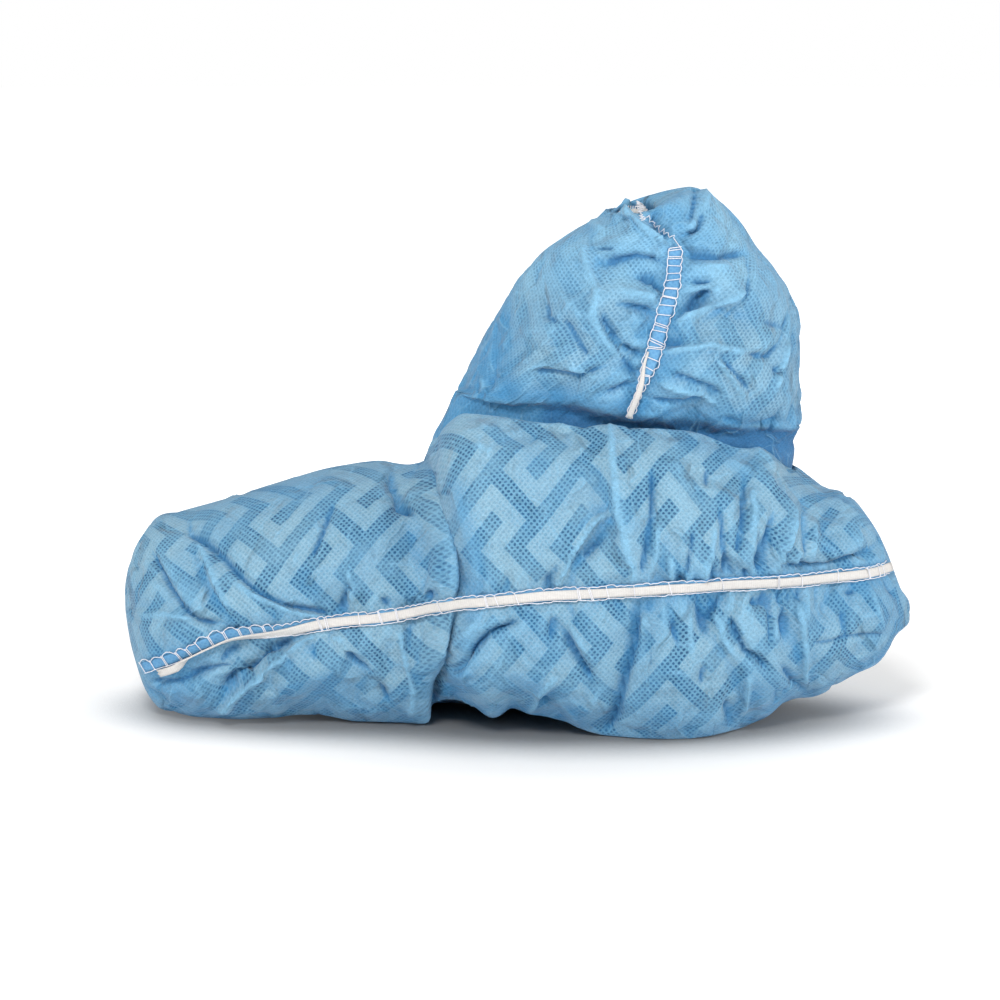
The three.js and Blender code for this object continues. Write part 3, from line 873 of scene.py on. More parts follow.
def thread_piece(name, lines):
    """Thin thread along each line of points."""
    curve = bpy.data.curves.new(name, "CURVE")
    curve.dimensions = "3D"
    curve.bevel_depth = settings().thread_radius
    curve.bevel_resolution = 1
    curve.use_fill_caps = True
    for line in lines:
        spline = curve.splines.new("POLY")
        spline.points.add(len(line) - 1)
        for point, place_at in zip(spline.points, line):
            point.co = (*place_at, 1)
    holder = bpy.data.objects.new(name + "_line", curve)
    bpy.context.scene.collection.objects.link(holder)
    evaluated = holder.evaluated_get(bpy.context.evaluated_depsgraph_get())
    mesh = bpy.data.meshes.new_from_object(evaluated)
    bpy.data.objects.remove(holder)
    mesh.name = name
    mesh.materials.clear()
    mesh.materials.append(white_thread())
    return new_piece(name, mesh)


# ---------------------------------------------------------------- materials


def made_once(kind, name):
    """A material or a node group is made at its first use and handed out again after that."""

    def prepare(make):
        return lambda: getattr(bpy.data, kind).get(name) or make(name)

    return prepare


def feed(tree, socket, value):
    if isinstance(value, bpy.types.NodeSocket):
        tree.links.new(value, socket)
    else:
        socket.default_value = value


def node(tree, kind, sockets=None, **traits):
    made = tree.nodes.new(kind)
    for name, value in traits.items():
        setattr(made, name, value)
    for name, value in (sockets or {}).items():
        feed(tree, made.inputs[name], value)
    return made


def stored(tree, name):
    """A value that the mesh holds at each vertex."""
    return node(tree, "ShaderNodeAttribute", attribute_name=name, attribute_type="GEOMETRY").outputs["Fac"]


def cloth_place(tree):
    """The place on the flat cloth, in metres."""
    return node(tree, "ShaderNodeUVMap", uv_map="Cloth").outputs[0]


def cloudy(tree, place_at, scale, detail=2.0, roughness=0.5, distortion=0.0, output="Fac"):
    """Noise about 0.5."""
    values = (place_at, scale, detail, roughness, distortion)
    sockets = dict(zip(("Vector", "Scale", "Detail", "Roughness", "Distortion"), values))
    return node(tree, "ShaderNodeTexNoise", sockets).outputs[output]


def grey(tree, value):
    return node(tree, "ShaderNodeCombineXYZ", {"X": value, "Y": value, "Z": value}).outputs[0]


def maths(tree, operation, *values):
    made = tree.nodes.new("ShaderNodeMath")
    made.operation = operation
    for socket, value in zip(made.inputs, values):
        feed(tree, socket, value)
    return made.outputs[0]


def times(tree, first, second):
    return maths(tree, "MULTIPLY", first, second)


def plus(tree, first, second):
    return maths(tree, "ADD", first, second)


def minus(tree, first, second):
    return maths(tree, "SUBTRACT", first, second)


def over(tree, first, second):
    return maths(tree, "DIVIDE", first, second)


def vector_maths(tree, operation, *values, output="Vector"):
    made = tree.nodes.new("ShaderNodeVectorMath")
    made.operation = operation
    for socket, value in zip(made.inputs, values):
        feed(tree, socket, value)
    return made.outputs[output]


def wavering(tree, place_at, waver, reach):
    """Places pushed about by noise, over a reach in metres."""
    push = vector_maths(tree, "SUBTRACT", waver, (0.5, 0.5, 0.5))
    return vector_maths(tree, "ADD", place_at, vector_maths(tree, "MULTIPLY", push, (reach, reach, 0)))


def blend_colour(tree, share, first, second, mode="MIX"):
    made = tree.nodes.new("ShaderNodeMix")
    made.data_type = "RGBA"
    made.blend_type = mode
    feed(tree, made.inputs[0], share)
    for socket, value in ((made.inputs[6], first), (made.inputs[7], second)):
        feed(tree, socket, value if isinstance(value, bpy.types.NodeSocket) else (*value, 1))
    return made.outputs[2]


def spread(tree, value, low, high, to_low=0.0, to_high=1.0):
    sockets = {"Value": value, "From Min": low, "From Max": high, "To Min": to_low, "To Max": to_high}
    return node(tree, "ShaderNodeMapRange", sockets).outputs[0]


def new_group(name, inputs, outputs):
    tree = bpy.data.node_groups.new(name, "ShaderNodeTree")
    for label, kind in inputs:
        tree.interface.new_socket(label, in_out="INPUT", socket_type=kind)
    for label, kind in outputs:
        tree.interface.new_socket(label, in_out="OUTPUT", socket_type=kind)
    return tree, tree.nodes.new("NodeGroupInput").outputs, tree.nodes.new("NodeGroupOutput").inputs


def use_group(tree, group, sockets):
    return node(tree, "ShaderNodeGroup", sockets, node_tree=group).outputs


@made_once("node_groups", "Bond Points")
def bond_points_group(name):
    """A lattice of bond points with rows along the fret.

    Point is how much of a bond point is there, and Middle is the middle of the nearest one.
    """
    tree, given, result = new_group(
        name,
        [("Cloth", "NodeSocketVector"), ("Pitch", "NodeSocketFloat")],
        [("Point", "NodeSocketFloat"), ("Middle", "NodeSocketVector")],
    )
    rise = times(tree, given["Pitch"], math.tan(FRET_SLOPE))
    cell = node(tree, "ShaderNodeCombineXYZ", {"X": given["Pitch"], "Y": rise, "Z": 1.0}).outputs[0]
    half = vector_maths(tree, "MULTIPLY", cell, (0.5, 0.5, 0.5))
    low = vector_maths(tree, "MULTIPLY", half, (-1, -1, -1))
    waver = cloudy(tree, given["Cloth"], 420.0, 1.0, output="Color")
    place_at = wavering(tree, given["Cloth"], waver, 0.0008)
    first = vector_maths(tree, "WRAP", place_at, half, low)
    between = vector_maths(tree, "ADD", place_at, vector_maths(tree, "MULTIPLY", half, (1, 1, 0)))
    second = vector_maths(tree, "WRAP", between, half, low)
    first_far = vector_maths(tree, "LENGTH", first, output="Value")
    second_far = vector_maths(tree, "LENGTH", second, output="Value")
    nearer = maths(tree, "LESS_THAN", second_far, first_far)
    step = node(tree, "ShaderNodeMix", data_type="VECTOR")
    feed(tree, step.inputs[0], nearer)
    feed(tree, step.inputs[4], first)
    feed(tree, step.inputs[5], second)
    feed(tree, result["Middle"], vector_maths(tree, "SUBTRACT", place_at, step.outputs[1]))
    away = over(tree, maths(tree, "MINIMUM", first_far, second_far), given["Pitch"])
    feed(tree, result["Point"], spread(tree, away, 0.17, 0.32, 1.0, 0.0))
    return tree


@made_once("node_groups", "Key Fret")
def key_fret_group(name):
    """1 in the cells of the charted key fret and 0 between them."""
    tree, given, result = new_group(
        name, [("Cloth", "NodeSocketVector"), ("Unit", "NodeSocketFloat")], [("Fret", "NodeSocketFloat")]
    )
    centred = vector_maths(tree, "SUBTRACT", given["Cloth"], FRET_ORIGIN)
    place_at = node(tree, "ShaderNodeSeparateXYZ", {"Vector": centred}).outputs
    run = over(tree, place_at[0], times(tree, given["Unit"], 2 * math.cos(FRET_SLOPE)))
    rise = over(tree, place_at[1], times(tree, given["Unit"], 2 * math.sin(FRET_SLOPE)))
    column = maths(tree, "FLOOR", plus(tree, plus(tree, run, rise), 0.5))
    row = maths(tree, "FLOOR", plus(tree, minus(tree, run, rise), 0.5))
    period = len(FRET_CHART)
    lowered = times(tree, maths(tree, "FLOOR", over(tree, column, period)), period)
    column = minus(tree, column, lowered)
    row = maths(tree, "FLOORED_MODULO", minus(tree, row, lowered), len(FRET_CHART[0]))
    masks = [sum(2**k for k, cell in enumerate(text) if cell == "#") for text in FRET_CHART]
    mask = float(masks[0])
    for number in range(1, period):
        reached = maths(tree, "GREATER_THAN", column, number - 0.5)
        mask = plus(tree, times(tree, reached, float(masks[number] - masks[number - 1])), mask)
    shifted = maths(tree, "FLOOR", over(tree, mask, maths(tree, "POWER", 2.0, row)))
    feed(tree, result["Fret"], maths(tree, "FLOORED_MODULO", shifted, 2.0))
    return tree


@made_once("node_groups", "Fibres")
def fibres_group(name):
    """The cloudy, fibrous look of thin nonwoven, about 0.5."""
    marks = [(label, "NodeSocketFloat") for label in ("Fibre", "Cloud", "Patch")]
    tree, given, result = new_group(name, [("Cloth", "NodeSocketVector")], marks)
    feed(tree, result["Fibre"], cloudy(tree, given["Cloth"], 800.0, 3.0, 0.7, 1.2))
    feed(tree, result["Cloud"], cloudy(tree, given["Cloth"], 22.0, 5.0, 0.6))
    feed(tree, result["Patch"], cloudy(tree, given["Cloth"], 35.0, 3.0, 0.6))
    return tree


@made_once("node_groups", "Crinkles")
def crinkles_group(name):
    """Sharp small creases between flat facets, a little longer up the cloth than along it."""
    tree, given, result = new_group(
        name, [("Cloth", "NodeSocketVector")], [("Height", "NodeSocketFloat"), ("Line", "NodeSocketFloat")]
    )
    waver = cloudy(tree, given["Cloth"], 26.0, 2.0, output="Color")
    place_at = vector_maths(tree, "MULTIPLY", wavering(tree, given["Cloth"], waver, 0.03), (1, 0.6, 1))
    sockets = {"Vector": place_at, "Scale": 62.0}
    cells = node(tree, "ShaderNodeTexVoronoi", sockets, voronoi_dimensions="2D", feature="DISTANCE_TO_EDGE")
    edge = cells.outputs["Distance"]
    turn = cloudy(tree, given["Cloth"], 45.0)
    way = spread(tree, turn, 0.4, 0.6, -1.0, 1.0)
    height = times(tree, spread(tree, edge, 0, 0.2), times(tree, way, 0.35))
    line = times(tree, spread(tree, edge, 0.0, 0.05, 1.0, 0.0), spread(tree, way, 0.0, -1.0))
    for size, width, tall in ((26.0, 0.05, 0.9), (60.0, 0.06, 0.45)):
        off = maths(tree, "ABSOLUTE", minus(tree, cloudy(tree, place_at, size, 1.0, 0.35), 0.5))
        ridge = spread(tree, off, 0.0, width, 1.0, 0.0)
        height = plus(tree, height, times(tree, times(tree, ridge, way), tall))
        thin = times(tree, spread(tree, off, 0.0, 0.012, 1.0, 0.0), spread(tree, way, 0.0, 1.0))
        line = maths(tree, "MAXIMUM", line, thin)
    feed(tree, result["Height"], height)
    feed(tree, result["Line"], line)
    return tree


def start_material(name, **finish):
    """A new material, whose finish names sockets of the shader and gives their numbers."""
    material = bpy.data.materials.new(name)
    material.use_nodes = True
    tree = material.node_tree
    surface = tree.nodes["Principled BSDF"]
    for label, value in finish.items():
        surface.inputs[label.replace("_", " ")].default_value = value
    return material, tree, surface


def emboss(tree, surface, height, strength, distance):
    """Raises the surface by a height from 0 to 1 that stands for a distance in metres."""
    sockets = {"Height": height, "Strength": strength, "Distance": distance}
    feed(tree, surface.inputs["Normal"], node(tree, "ShaderNodeBump", sockets).outputs[0])


@made_once("materials", "light blue nonwoven")
def nonwoven(name):
    """Light blue bonded nonwoven with the key fret of denser bond points, and painted shade and highlights
    in its folds.
    """
    sizes = settings()
    material, tree, surface = start_material(
        name, Roughness=0.68, Specular_IOR_Level=0.3, Sheen_Weight=0.1, Sheen_Roughness=0.5
    )
    cloth = cloth_place(tree)
    bond = use_group(tree, bond_points_group(), {"Cloth": cloth, "Pitch": sizes.bond_pitch})
    fret = use_group(tree, key_fret_group(), {"Cloth": bond["Middle"], "Unit": sizes.fret_unit})["Fret"]
    fibres = use_group(tree, fibres_group(), {"Cloth": cloth})
    crest = stored(tree, "crest")
    fade_and_painted_light = stored(tree, "fade_and_painted_light")
    fret = times(tree, fret, minus(tree, 1.0, fade_and_painted_light))
    fret = times(tree, fret, spread(tree, fibres["Patch"], 0.36, 0.54, 0.7, 1.0))
    # on the ankle part the fret fades, painted shade makes the cloth a little bluer, and a painted
    # highlight turns it pale towards the top
    ground = blend_colour(tree, fret, sizes.plain_colour, sizes.band_colour)
    ground = blend_colour(tree, spread(tree, fade_and_painted_light, 0.0, 0.25, 0.0, 0.16), ground, (0.10, 0.29, 0.45))
    ground = blend_colour(tree, spread(tree, fade_and_painted_light, 0.42, 0.65, 0.0, 0.5), ground, (0.27, 0.54, 0.73))
    # bond points are dark in the bands, and half as dark on the ankle part's upright side
    upright = maths(tree, "ABSOLUTE", minus(tree, fade_and_painted_light, 0.3))
    points = maths(tree, "MAXIMUM", fret, spread(tree, upright, 0.0, 0.3, 0.45, 0.0))
    points = blend_colour(tree, points, sizes.faint_colour, sizes.bond_colour)
    pressed = times(tree, bond["Point"], spread(tree, fibres["Patch"], 0.35, 0.62, 0.55, 1.1))
    base = blend_colour(tree, pressed, ground, points)
    # two layers of cloth are bluer; painted shade makes folds, hollows and undersides bluer and darker, and
    # a painted highlight makes crests paler
    layers_and_shade = stored(tree, "layers_and_shade")
    drift = spread(tree, fibres["Cloud"], 0.35, 0.65, -0.25, 0.3)
    share = spread(tree, plus(tree, layers_and_shade, drift), 0.0, 1.0, 0.0, 0.75)
    base = blend_colour(tree, share, base, sizes.layer_and_shade_colour)
    base = blend_colour(tree, spread(tree, crest, 0.15, 1.0, 0.0, 0.5), base, sizes.crest_highlight_colour)
    base = blend_colour(tree, spread(tree, crest, -0.15, -1.0, 0.0, 0.65), base, sizes.layer_and_shade_colour)
    # a thin line along each crease: a painted highlight where it stands up and a painted shade line where
    # it sinks in
    line = stored(tree, "crease_line")
    base = blend_colour(tree, spread(tree, line, 0.4, 0.85, 0.0, 0.8), base, sizes.crest_highlight_colour)
    base = blend_colour(tree, spread(tree, line, -0.5, -0.95, 0.0, 0.75), base, (0.016, 0.115, 0.28))
    crinkles = use_group(tree, crinkles_group(), {"Cloth": cloth})
    # a painted highlight along the thin crinkle lines
    base = blend_colour(tree, times(tree, crinkles["Line"], 0.5), base, sizes.crest_highlight_colour)
    speckle = spread(tree, fibres["Fibre"], 0.3, 0.7, 0.80, 1.2)
    base = blend_colour(tree, 1.0, base, grey(tree, speckle), "MULTIPLY")
    feed(tree, surface.inputs["Base Color"], base)
    # fibres, bond points, crinkles and creases in relief
    relief = minus(tree, times(tree, fibres["Fibre"], 0.3), times(tree, bond["Point"], 0.4))
    relief = plus(tree, relief, times(tree, crinkles["Height"], 5.5))
    cusp = times(tree, times(tree, line, maths(tree, "ABSOLUTE", line)), 3.5)
    relief = plus(tree, relief, cusp)
    emboss(tree, surface, relief, 0.9, 0.0003)
    return material


@made_once("materials", "seam nonwoven")
def seam_cloth(name):
    """Two layers of the nonwoven pressed together in a seam, so bluer."""
    sizes = settings()
    material, tree, surface = start_material(name, Roughness=0.7)
    cloth = cloth_place(tree)
    bond = use_group(tree, bond_points_group(), {"Cloth": cloth, "Pitch": sizes.bond_pitch})
    fibres = use_group(tree, fibres_group(), {"Cloth": cloth})
    cloud = spread(tree, fibres["Cloud"], 0.3, 0.7)
    base = blend_colour(tree, cloud, (0.075, 0.26, 0.49), (0.16, 0.38, 0.59))
    base = blend_colour(tree, times(tree, bond["Point"], 0.35), base, (0.05, 0.20, 0.45))
    feed(tree, surface.inputs["Base Color"], base)
    relief = minus(tree, fibres["Fibre"], bond["Point"])
    emboss(tree, surface, relief, 0.4, 0.0003)
    return material


RIB_PITCH = 0.0008
PICK_PITCH = 0.0011


@made_once("materials", "off-white elastic")
def elastic(name):
    """Off-white knitted elastic with fine ribs along it."""
    material, tree, surface = start_material(name, Roughness=0.8)
    cloth = cloth_place(tree)
    place_at = node(tree, "ShaderNodeSeparateXYZ", {"Vector": cloth}).outputs
    ribs = maths(tree, "SINE", times(tree, place_at[1], 2 * math.pi / RIB_PITCH))
    picks = maths(tree, "SINE", times(tree, place_at[0], 2 * math.pi / PICK_PITCH))
    weave = plus(tree, times(tree, ribs, 0.6), times(tree, picks, 0.25))
    fibres = use_group(tree, fibres_group(), {"Cloth": cloth})
    colour = settings().tape_colour
    darker = tuple(c * 0.80 for c in colour)
    base = blend_colour(tree, spread(tree, weave, -0.9, 0.6), darker, colour)
    lint = spread(tree, fibres["Fibre"], 0.35, 0.75, 0.0, 0.35)
    base = blend_colour(tree, lint, base, (0.88, 0.85, 0.80))
    feed(tree, surface.inputs["Base Color"], base)
    emboss(tree, surface, weave, 0.5, 0.0002)
    return material


@made_once("materials", "white thread")
def white_thread(name):
    """Textured overlock thread."""
    material, tree, surface = start_material(name, Roughness=0.75)
    place_at = node(tree, "ShaderNodeTexCoord").outputs["Object"]
    fuzz = cloudy(tree, place_at, 2600.0, 2.0)
    colour = settings().thread_colour
    darker = tuple(c * 0.78 for c in colour)
    base = blend_colour(tree, spread(tree, fuzz, 0.3, 0.65), darker, colour)
    feed(tree, surface.inputs["Base Color"], base)
    emboss(tree, surface, fuzz, 0.5, 0.0001)
    return material


@made_once("materials", "studio white")
def studio_white(name):
    """The pale floor, with a painted contact shadow where the object stands on it, and glowing whiter
    farther out.
    """
    material, tree, surface = start_material(
        name, Roughness=0.9, Specular_IOR_Level=0.0, Emission_Strength=1.0
    )
    place_at = node(tree, "ShaderNodeTexCoord").outputs["Object"]
    tone = cloudy(tree, place_at, 1.5)
    seen = node(tree, "ShaderNodeLightPath").outputs["Is Camera Ray"]
    pale = blend_colour(tree, tone, (0.85, 0.84, 0.83), (0.87, 0.86, 0.85))
    # painted contact shadow: darker where the object shuts the floor in
    shut_in = node(tree, "ShaderNodeAmbientOcclusion", {"Distance": 0.075}, samples=8).outputs["AO"]
    painted_contact_shadow = grey(tree, spread(tree, shut_in, 0.3, 0.74, 0.25, 1.0))
    pale = blend_colour(tree, 1.0, pale, painted_contact_shadow, "MULTIPLY")
    feed(tree, surface.inputs["Base Color"], blend_colour(tree, seen, (0.86, 0.86, 0.86), pale))
    far = vector_maths(tree, "LENGTH", place_at, output="Value")
    glow = plus(tree, spread(tree, far, 0.07, 0.17, 0.0, 0.12), spread(tree, far, 0.12, 0.95, 0.0, 0.7))
    feed(tree, surface.inputs["Emission Color"], grey(tree, glow))
    return material


# ---------------------------------------------------------------- the pieces

# the finished pieces, for the steps that follow
PIECES = {}


def foot_gathers():
    """Small creases that run up and down from the tape, closest together in front of the heel."""
    dice = np.random.default_rng(21)
    table = []
    x = -150
    while x < 172:
        strength = 0.35 + 0.65 * math.exp(-(((x - 98) / 46) ** 2)) + 0.2 * math.exp(-(((x + 75) / 30) ** 2))
        seam = float(curve_at(FOOT_SEAM, [x])[0])
        for way in (-1, 1):
            here = x + dice.uniform(-2, 2)
            length = dice.uniform(8, 30) * (0.5 + strength / 2)
            lean = dice.normal(0, 0.25) * length
            size = dice.uniform(0.8, 2.2) * strength * dice.choice((-1, -1, 1))
            start = (here, seam + way * 2.5)
            table.append((size, dice.uniform(1.8, 3.2), start, (here + lean, seam + way * (2.5 + length))))
        x += dice.uniform(4.5, 9) / (0.6 + 0.6 * strength)
    return table


def finish_cloth(piece, layers_and_shade, lines):
    """Marks where the cloth lies in two layers or gets painted shade, and where it is creased, and gives it
    its finish and thickness.
    """
    mark(piece.data, "layers_and_shade", layers_and_shade)
    mark(piece.data, "crease_line", lines, -1)
    piece.data.materials.append(nonwoven())
    thicken(piece, settings().cloth_thickness)


def build_foot_cloth():
    """The foot part: shaped, crumpled held by its seam, valley and sole, and then creased."""
    bm = bmesh.new()
    bmesh.ops.create_cube(bm, size=2)
    x, around = foot_rings(bm)
    bm.verts.index_update()
    points = foot_form(x, around)
    u, v, whole = foot_cloth_coordinates(x, around)
    write_cloth_coordinates(bm, u, v, whole)
    for vert in bm.verts:
        vert.co = points[vert.index] * MM
    in_mouth = (oval_share(MOUTH, points[:, 0], points[:, 1]) < 1) & (points[:, 2] > RIM_BOTTOM)
    gone = [f for f in bm.faces if all(in_mouth[vert.index] for vert in f.verts)]
    bmesh.ops.delete(bm, geom=gone, context="FACES")
    kept = [vert.index for vert in bm.verts]
    piece = new_piece("foot_cloth", mesh_of(bm, "foot_cloth"))
    px, py, pz = points[kept].T
    seam = curve_at(FOOT_SEAM, px)
    on_seam = np.where(py < 0, bell(pz - seam, 4.5), 0)
    in_valley = np.where(pz > RIM_BOTTOM, fade(oval_share(VALLEY, px, py), 0.9, 1.05), 0)
    on_floor = fade(pz - floor_lift(px, py), 0.5, 6)
    away = px - curve_at(LAP_LINE, pz)
    in_lap = np.where(py < 0, 0.85 * bell(away - 3, 9) * fade(pz, 120, 130), 0)
    held = np.maximum(np.maximum(on_seam, in_valley), np.maximum(on_floor, in_lap))
    crumple_whole(piece, held)
    refine(piece)
    co, normals = positions(piece.data), normals_of(piece.data)
    x, z = co[:, 0] / MM, co[:, 2] / MM
    seam = curve_at(FOOT_SEAM, x)
    near = facing(normals, NEAR)
    tape = bell(z - seam, 3.2) * near
    drawn, drawn_lines = crease_rise(FOOT_CREASES, x, z)
    gathers, gather_lines = crease_rise(foot_gathers(), x, z)
    u, v = cloth_places(piece.data).T
    creases = stray_creases(seed=5, count=240, width=400, height=500, lengths=(14, 50))
    stray, stray_lines = crease_rise(creases, u, v)
    stray_share = (1.1 - 0.9 * near) * (1 - 0.6 * smoothstep(x, 158, 176))
    far = facing(normals, FAR)
    hidden, hidden_lines = crease_rise(FOOT_CREASES, -x, z)
    lap = x - curve_at(LAP_LINE, z)
    floor = smoothstep(z, 0.5, 5)
    rise = ((drawn + gathers) * near + hidden * far + stray * stray_share) * (1 - tape) * floor
    lines = stronger(drawn_lines, gather_lines) * near + hidden_lines * far
    lines = stronger(lines, stray_lines * stray_share) * floor
    co += normals * (rise * MM)[:, None]
    co[:, 2] = np.maximum(co[:, 2], 0)
    place(piece.data, co)
    held = np.maximum(tape, fade(z, 0.5, 4))
    crumple(piece, held, growth=0.008, limit=0.001, pressure=0, bending=0.01, frames=5)
    mark_crests(piece.data)
    # where two layers lie on each other, which looks bluer, and painted shade in the lap's recess, in the
    # gap under the instep, on undersides and on edges turned sideways; also bluer towards the heel end
    by_tape = bell(z - seam, 9 + 6 * fade(x, -165, -120)) * near
    layers_and_shade = 0.9 * by_tape * fade(x, -172, -120) + 0.45 * by_tape * smoothstep(x, 40, 80)
    layers_and_shade += 0.6 * near * bell(lap - 13, 6) * fade(z, 118, 132)
    layers_and_shade += 0.5 * smoothstep(-normals[:, 2], 0.2, 0.7) + 0.35 * smoothstep(x, 150, 180)
    layers_and_shade += 0.7 * fade(z, 5, 24) * smoothstep(x, -44, -36) * fade(x, 20, 45)
    layers_and_shade += 0.35 * smoothstep(1 - np.abs(normals[:, 1]), 0.55, 0.95)
    finish_cloth(piece, 0.08 + layers_and_shade, lines)
    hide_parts("foot_body")
    PIECES["foot"] = piece


def build_ankle_cloth():
    """The ankle part: shaped, crumpled held by its seam and two ends, and then creased."""
    bm = bmesh.new()
    bmesh.ops.create_grid(bm, x_segments=AROUND_CUTS, y_segments=RING_CUTS, size=1)
    steps, height = ankle_steps(RING_CUTS + 1)
    co = np.array([vert.co for vert in bm.verts])
    column = np.rint((co[:, 0] + 1) / 2 * AROUND_CUTS).astype(int)
    row = np.rint((co[:, 1] + 1) / 2 * RING_CUTS).astype(int)
    all_turns = math.pi / 2 + np.arange(AROUND_CUTS + 1) / AROUND_CUTS * 2 * math.pi
    points = ankle_form(steps[row], all_turns[column])
    arcs = np.empty((RING_CUTS + 1, AROUND_CUTS + 1))
    for k, step in enumerate(steps):
        ring = ankle_form(np.full(AROUND_CUTS + 1, step), all_turns)
        arcs[k] = run_of(ring)
        seam = curve_at(ANKLE_SEAM, ring[:, 2])
        near = slice(AROUND_CUTS // 4, 3 * AROUND_CUTS // 4)
        arcs[k] -= arcs[k][near][np.argmin(np.abs(ring[near, 0] - seam[near]))]
    arcs = running_mean(arcs, 30)
    write_cloth_coordinates(bm, arcs[row, column] * MM, row / RING_CUTS * height * MM)
    for vert, point in zip(bm.verts, points):
        vert.co = point * MM
    kept_step = {vert: steps[row[vert.index]] for vert in bm.verts}
    bmesh.ops.remove_doubles(bm, verts=bm.verts[:], dist=1e-5)
    step_of = np.array([kept_step[vert] for vert in bm.verts])
    piece = new_piece("ankle_cloth", mesh_of(bm, "ankle_cloth"))
    co = positions(piece.data) / MM
    seam = curve_at(ANKLE_SEAM, co[:, 2])
    in_band = smoothstep(step_of, 3.5, 5) * fade(step_of, 12.5, 13.5)
    on_seam = np.where(co[:, 1] < 0, bell(co[:, 0] - seam, 4), 0) * in_band
    ends = np.maximum(fade(step_of, 2.5, 4), smoothstep(step_of, 13.5, 14.5))
    crumple_whole(piece, np.maximum(on_seam, ends))
    refine(piece)
    co, normals = positions(piece.data), normals_of(piece.data)
    x, z = co[:, 0] / MM, co[:, 2] / MM
    level = z + 0.13 * (x - 58)
    turned = -normals[:, 1] * 1.8 - 0.1 + 0.9 * smoothstep(z, 222, 238) * (co[:, 1] < 0)
    near = np.clip(turned, 0, 1) * smoothstep(level, 150, 158)
    seam = curve_at(ANKLE_SEAM, z)
    strip = bell(x - seam, 3.2) * near
    u, v = cloth_places(piece.data).T
    creases = stray_creases(seed=9, count=150, width=460, height=360, lengths=(14, 44))
    stray, stray_lines = crease_rise(creases, u, v)
    drawn, drawn_lines = crease_rise(ANKLE_CREASES, x, z)
    clear = (1 - strip) * smoothstep(level, 148, 156)
    stray_share = 1 - 0.4 * near
    far = facing(normals, FAR) * fade(z, 228, 240)
    hidden, hidden_lines = crease_rise(ANKLE_CREASES[3:], 116 - x, z)
    rise = (drawn * near + hidden * far + stray * stray_share) * clear
    lines = stronger(drawn_lines * near + hidden_lines * far, stray_lines * stray_share) * clear
    co += normals * (rise * MM)[:, None]
    place(piece.data, co)
    held = np.maximum(strip, fade(level, 140, 149))
    crumple(piece, held, growth=0.025, limit=0.002, pressure=0, bending=0.01, frames=7)
    mark_crests(piece.data)
    # where two layers lie on each other, which looks bluer, and painted shade over the whole part a little,
    # on its left side, in the seam's hollow, in the slit above the foot part, inside the throat and on
    # edges turned sideways; also bluer along the lip
    layers_and_shade = 0.25 + 0.8 * fade(x, -16, 8) + 0.45 * bell(x - seam, 15) * near
    lip = smoothstep(z, 236, 248) * fade(x, 60, 72)
    layers_and_shade += 0.75 * fade(level, 151, 166) + 0.3 * lip
    throat = np.hypot((x - 56) / 12, co[:, 1] / MM / 27)
    layers_and_shade += fade(throat, 0.75, 1.05) * smoothstep(z, 222, 230)
    layers_and_shade += 0.3 * smoothstep(1 - np.abs(normals[:, 1]), 0.6, 1)
    # a painted shade line along the recess under the near side's lower edge
    recess = fade(level, 150, 156) * smoothstep(x, 0, 18) * (co[:, 1] < 0)
    finish_cloth(piece, layers_and_shade, np.where(recess > 0.05, -recess, lines))
    # how far the fret fades, with painted shade over the whole ankle part and a painted highlight towards
    # its top
    mark(piece.data, "fade_and_painted_light", 0.25 + 0.4 * smoothstep(z, 190, 225))
    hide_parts("ankle_body")
    PIECES["ankle"] = piece


SEAM_THICKNESS = 0.0006
TAPE_THICKNESS = 0.0008
ANKLE_TAPE_THICKNESS = 0.0007

# the overlock stitch, in millimetres along the seam
STITCH = 4.2


def at_run(line, run, sideways, outwards):
    """A point beside a line on the cloth: across it and out from the cloth, in millimetres."""
    points, normals, across = line
    runs = run_of(points) / MM

    def here(values):
        return np.array([np.interp(run, runs, values[:, k]) for k in range(3)])

    return here(points) + (here(across) * sideways + here(normals) * outwards) * MM


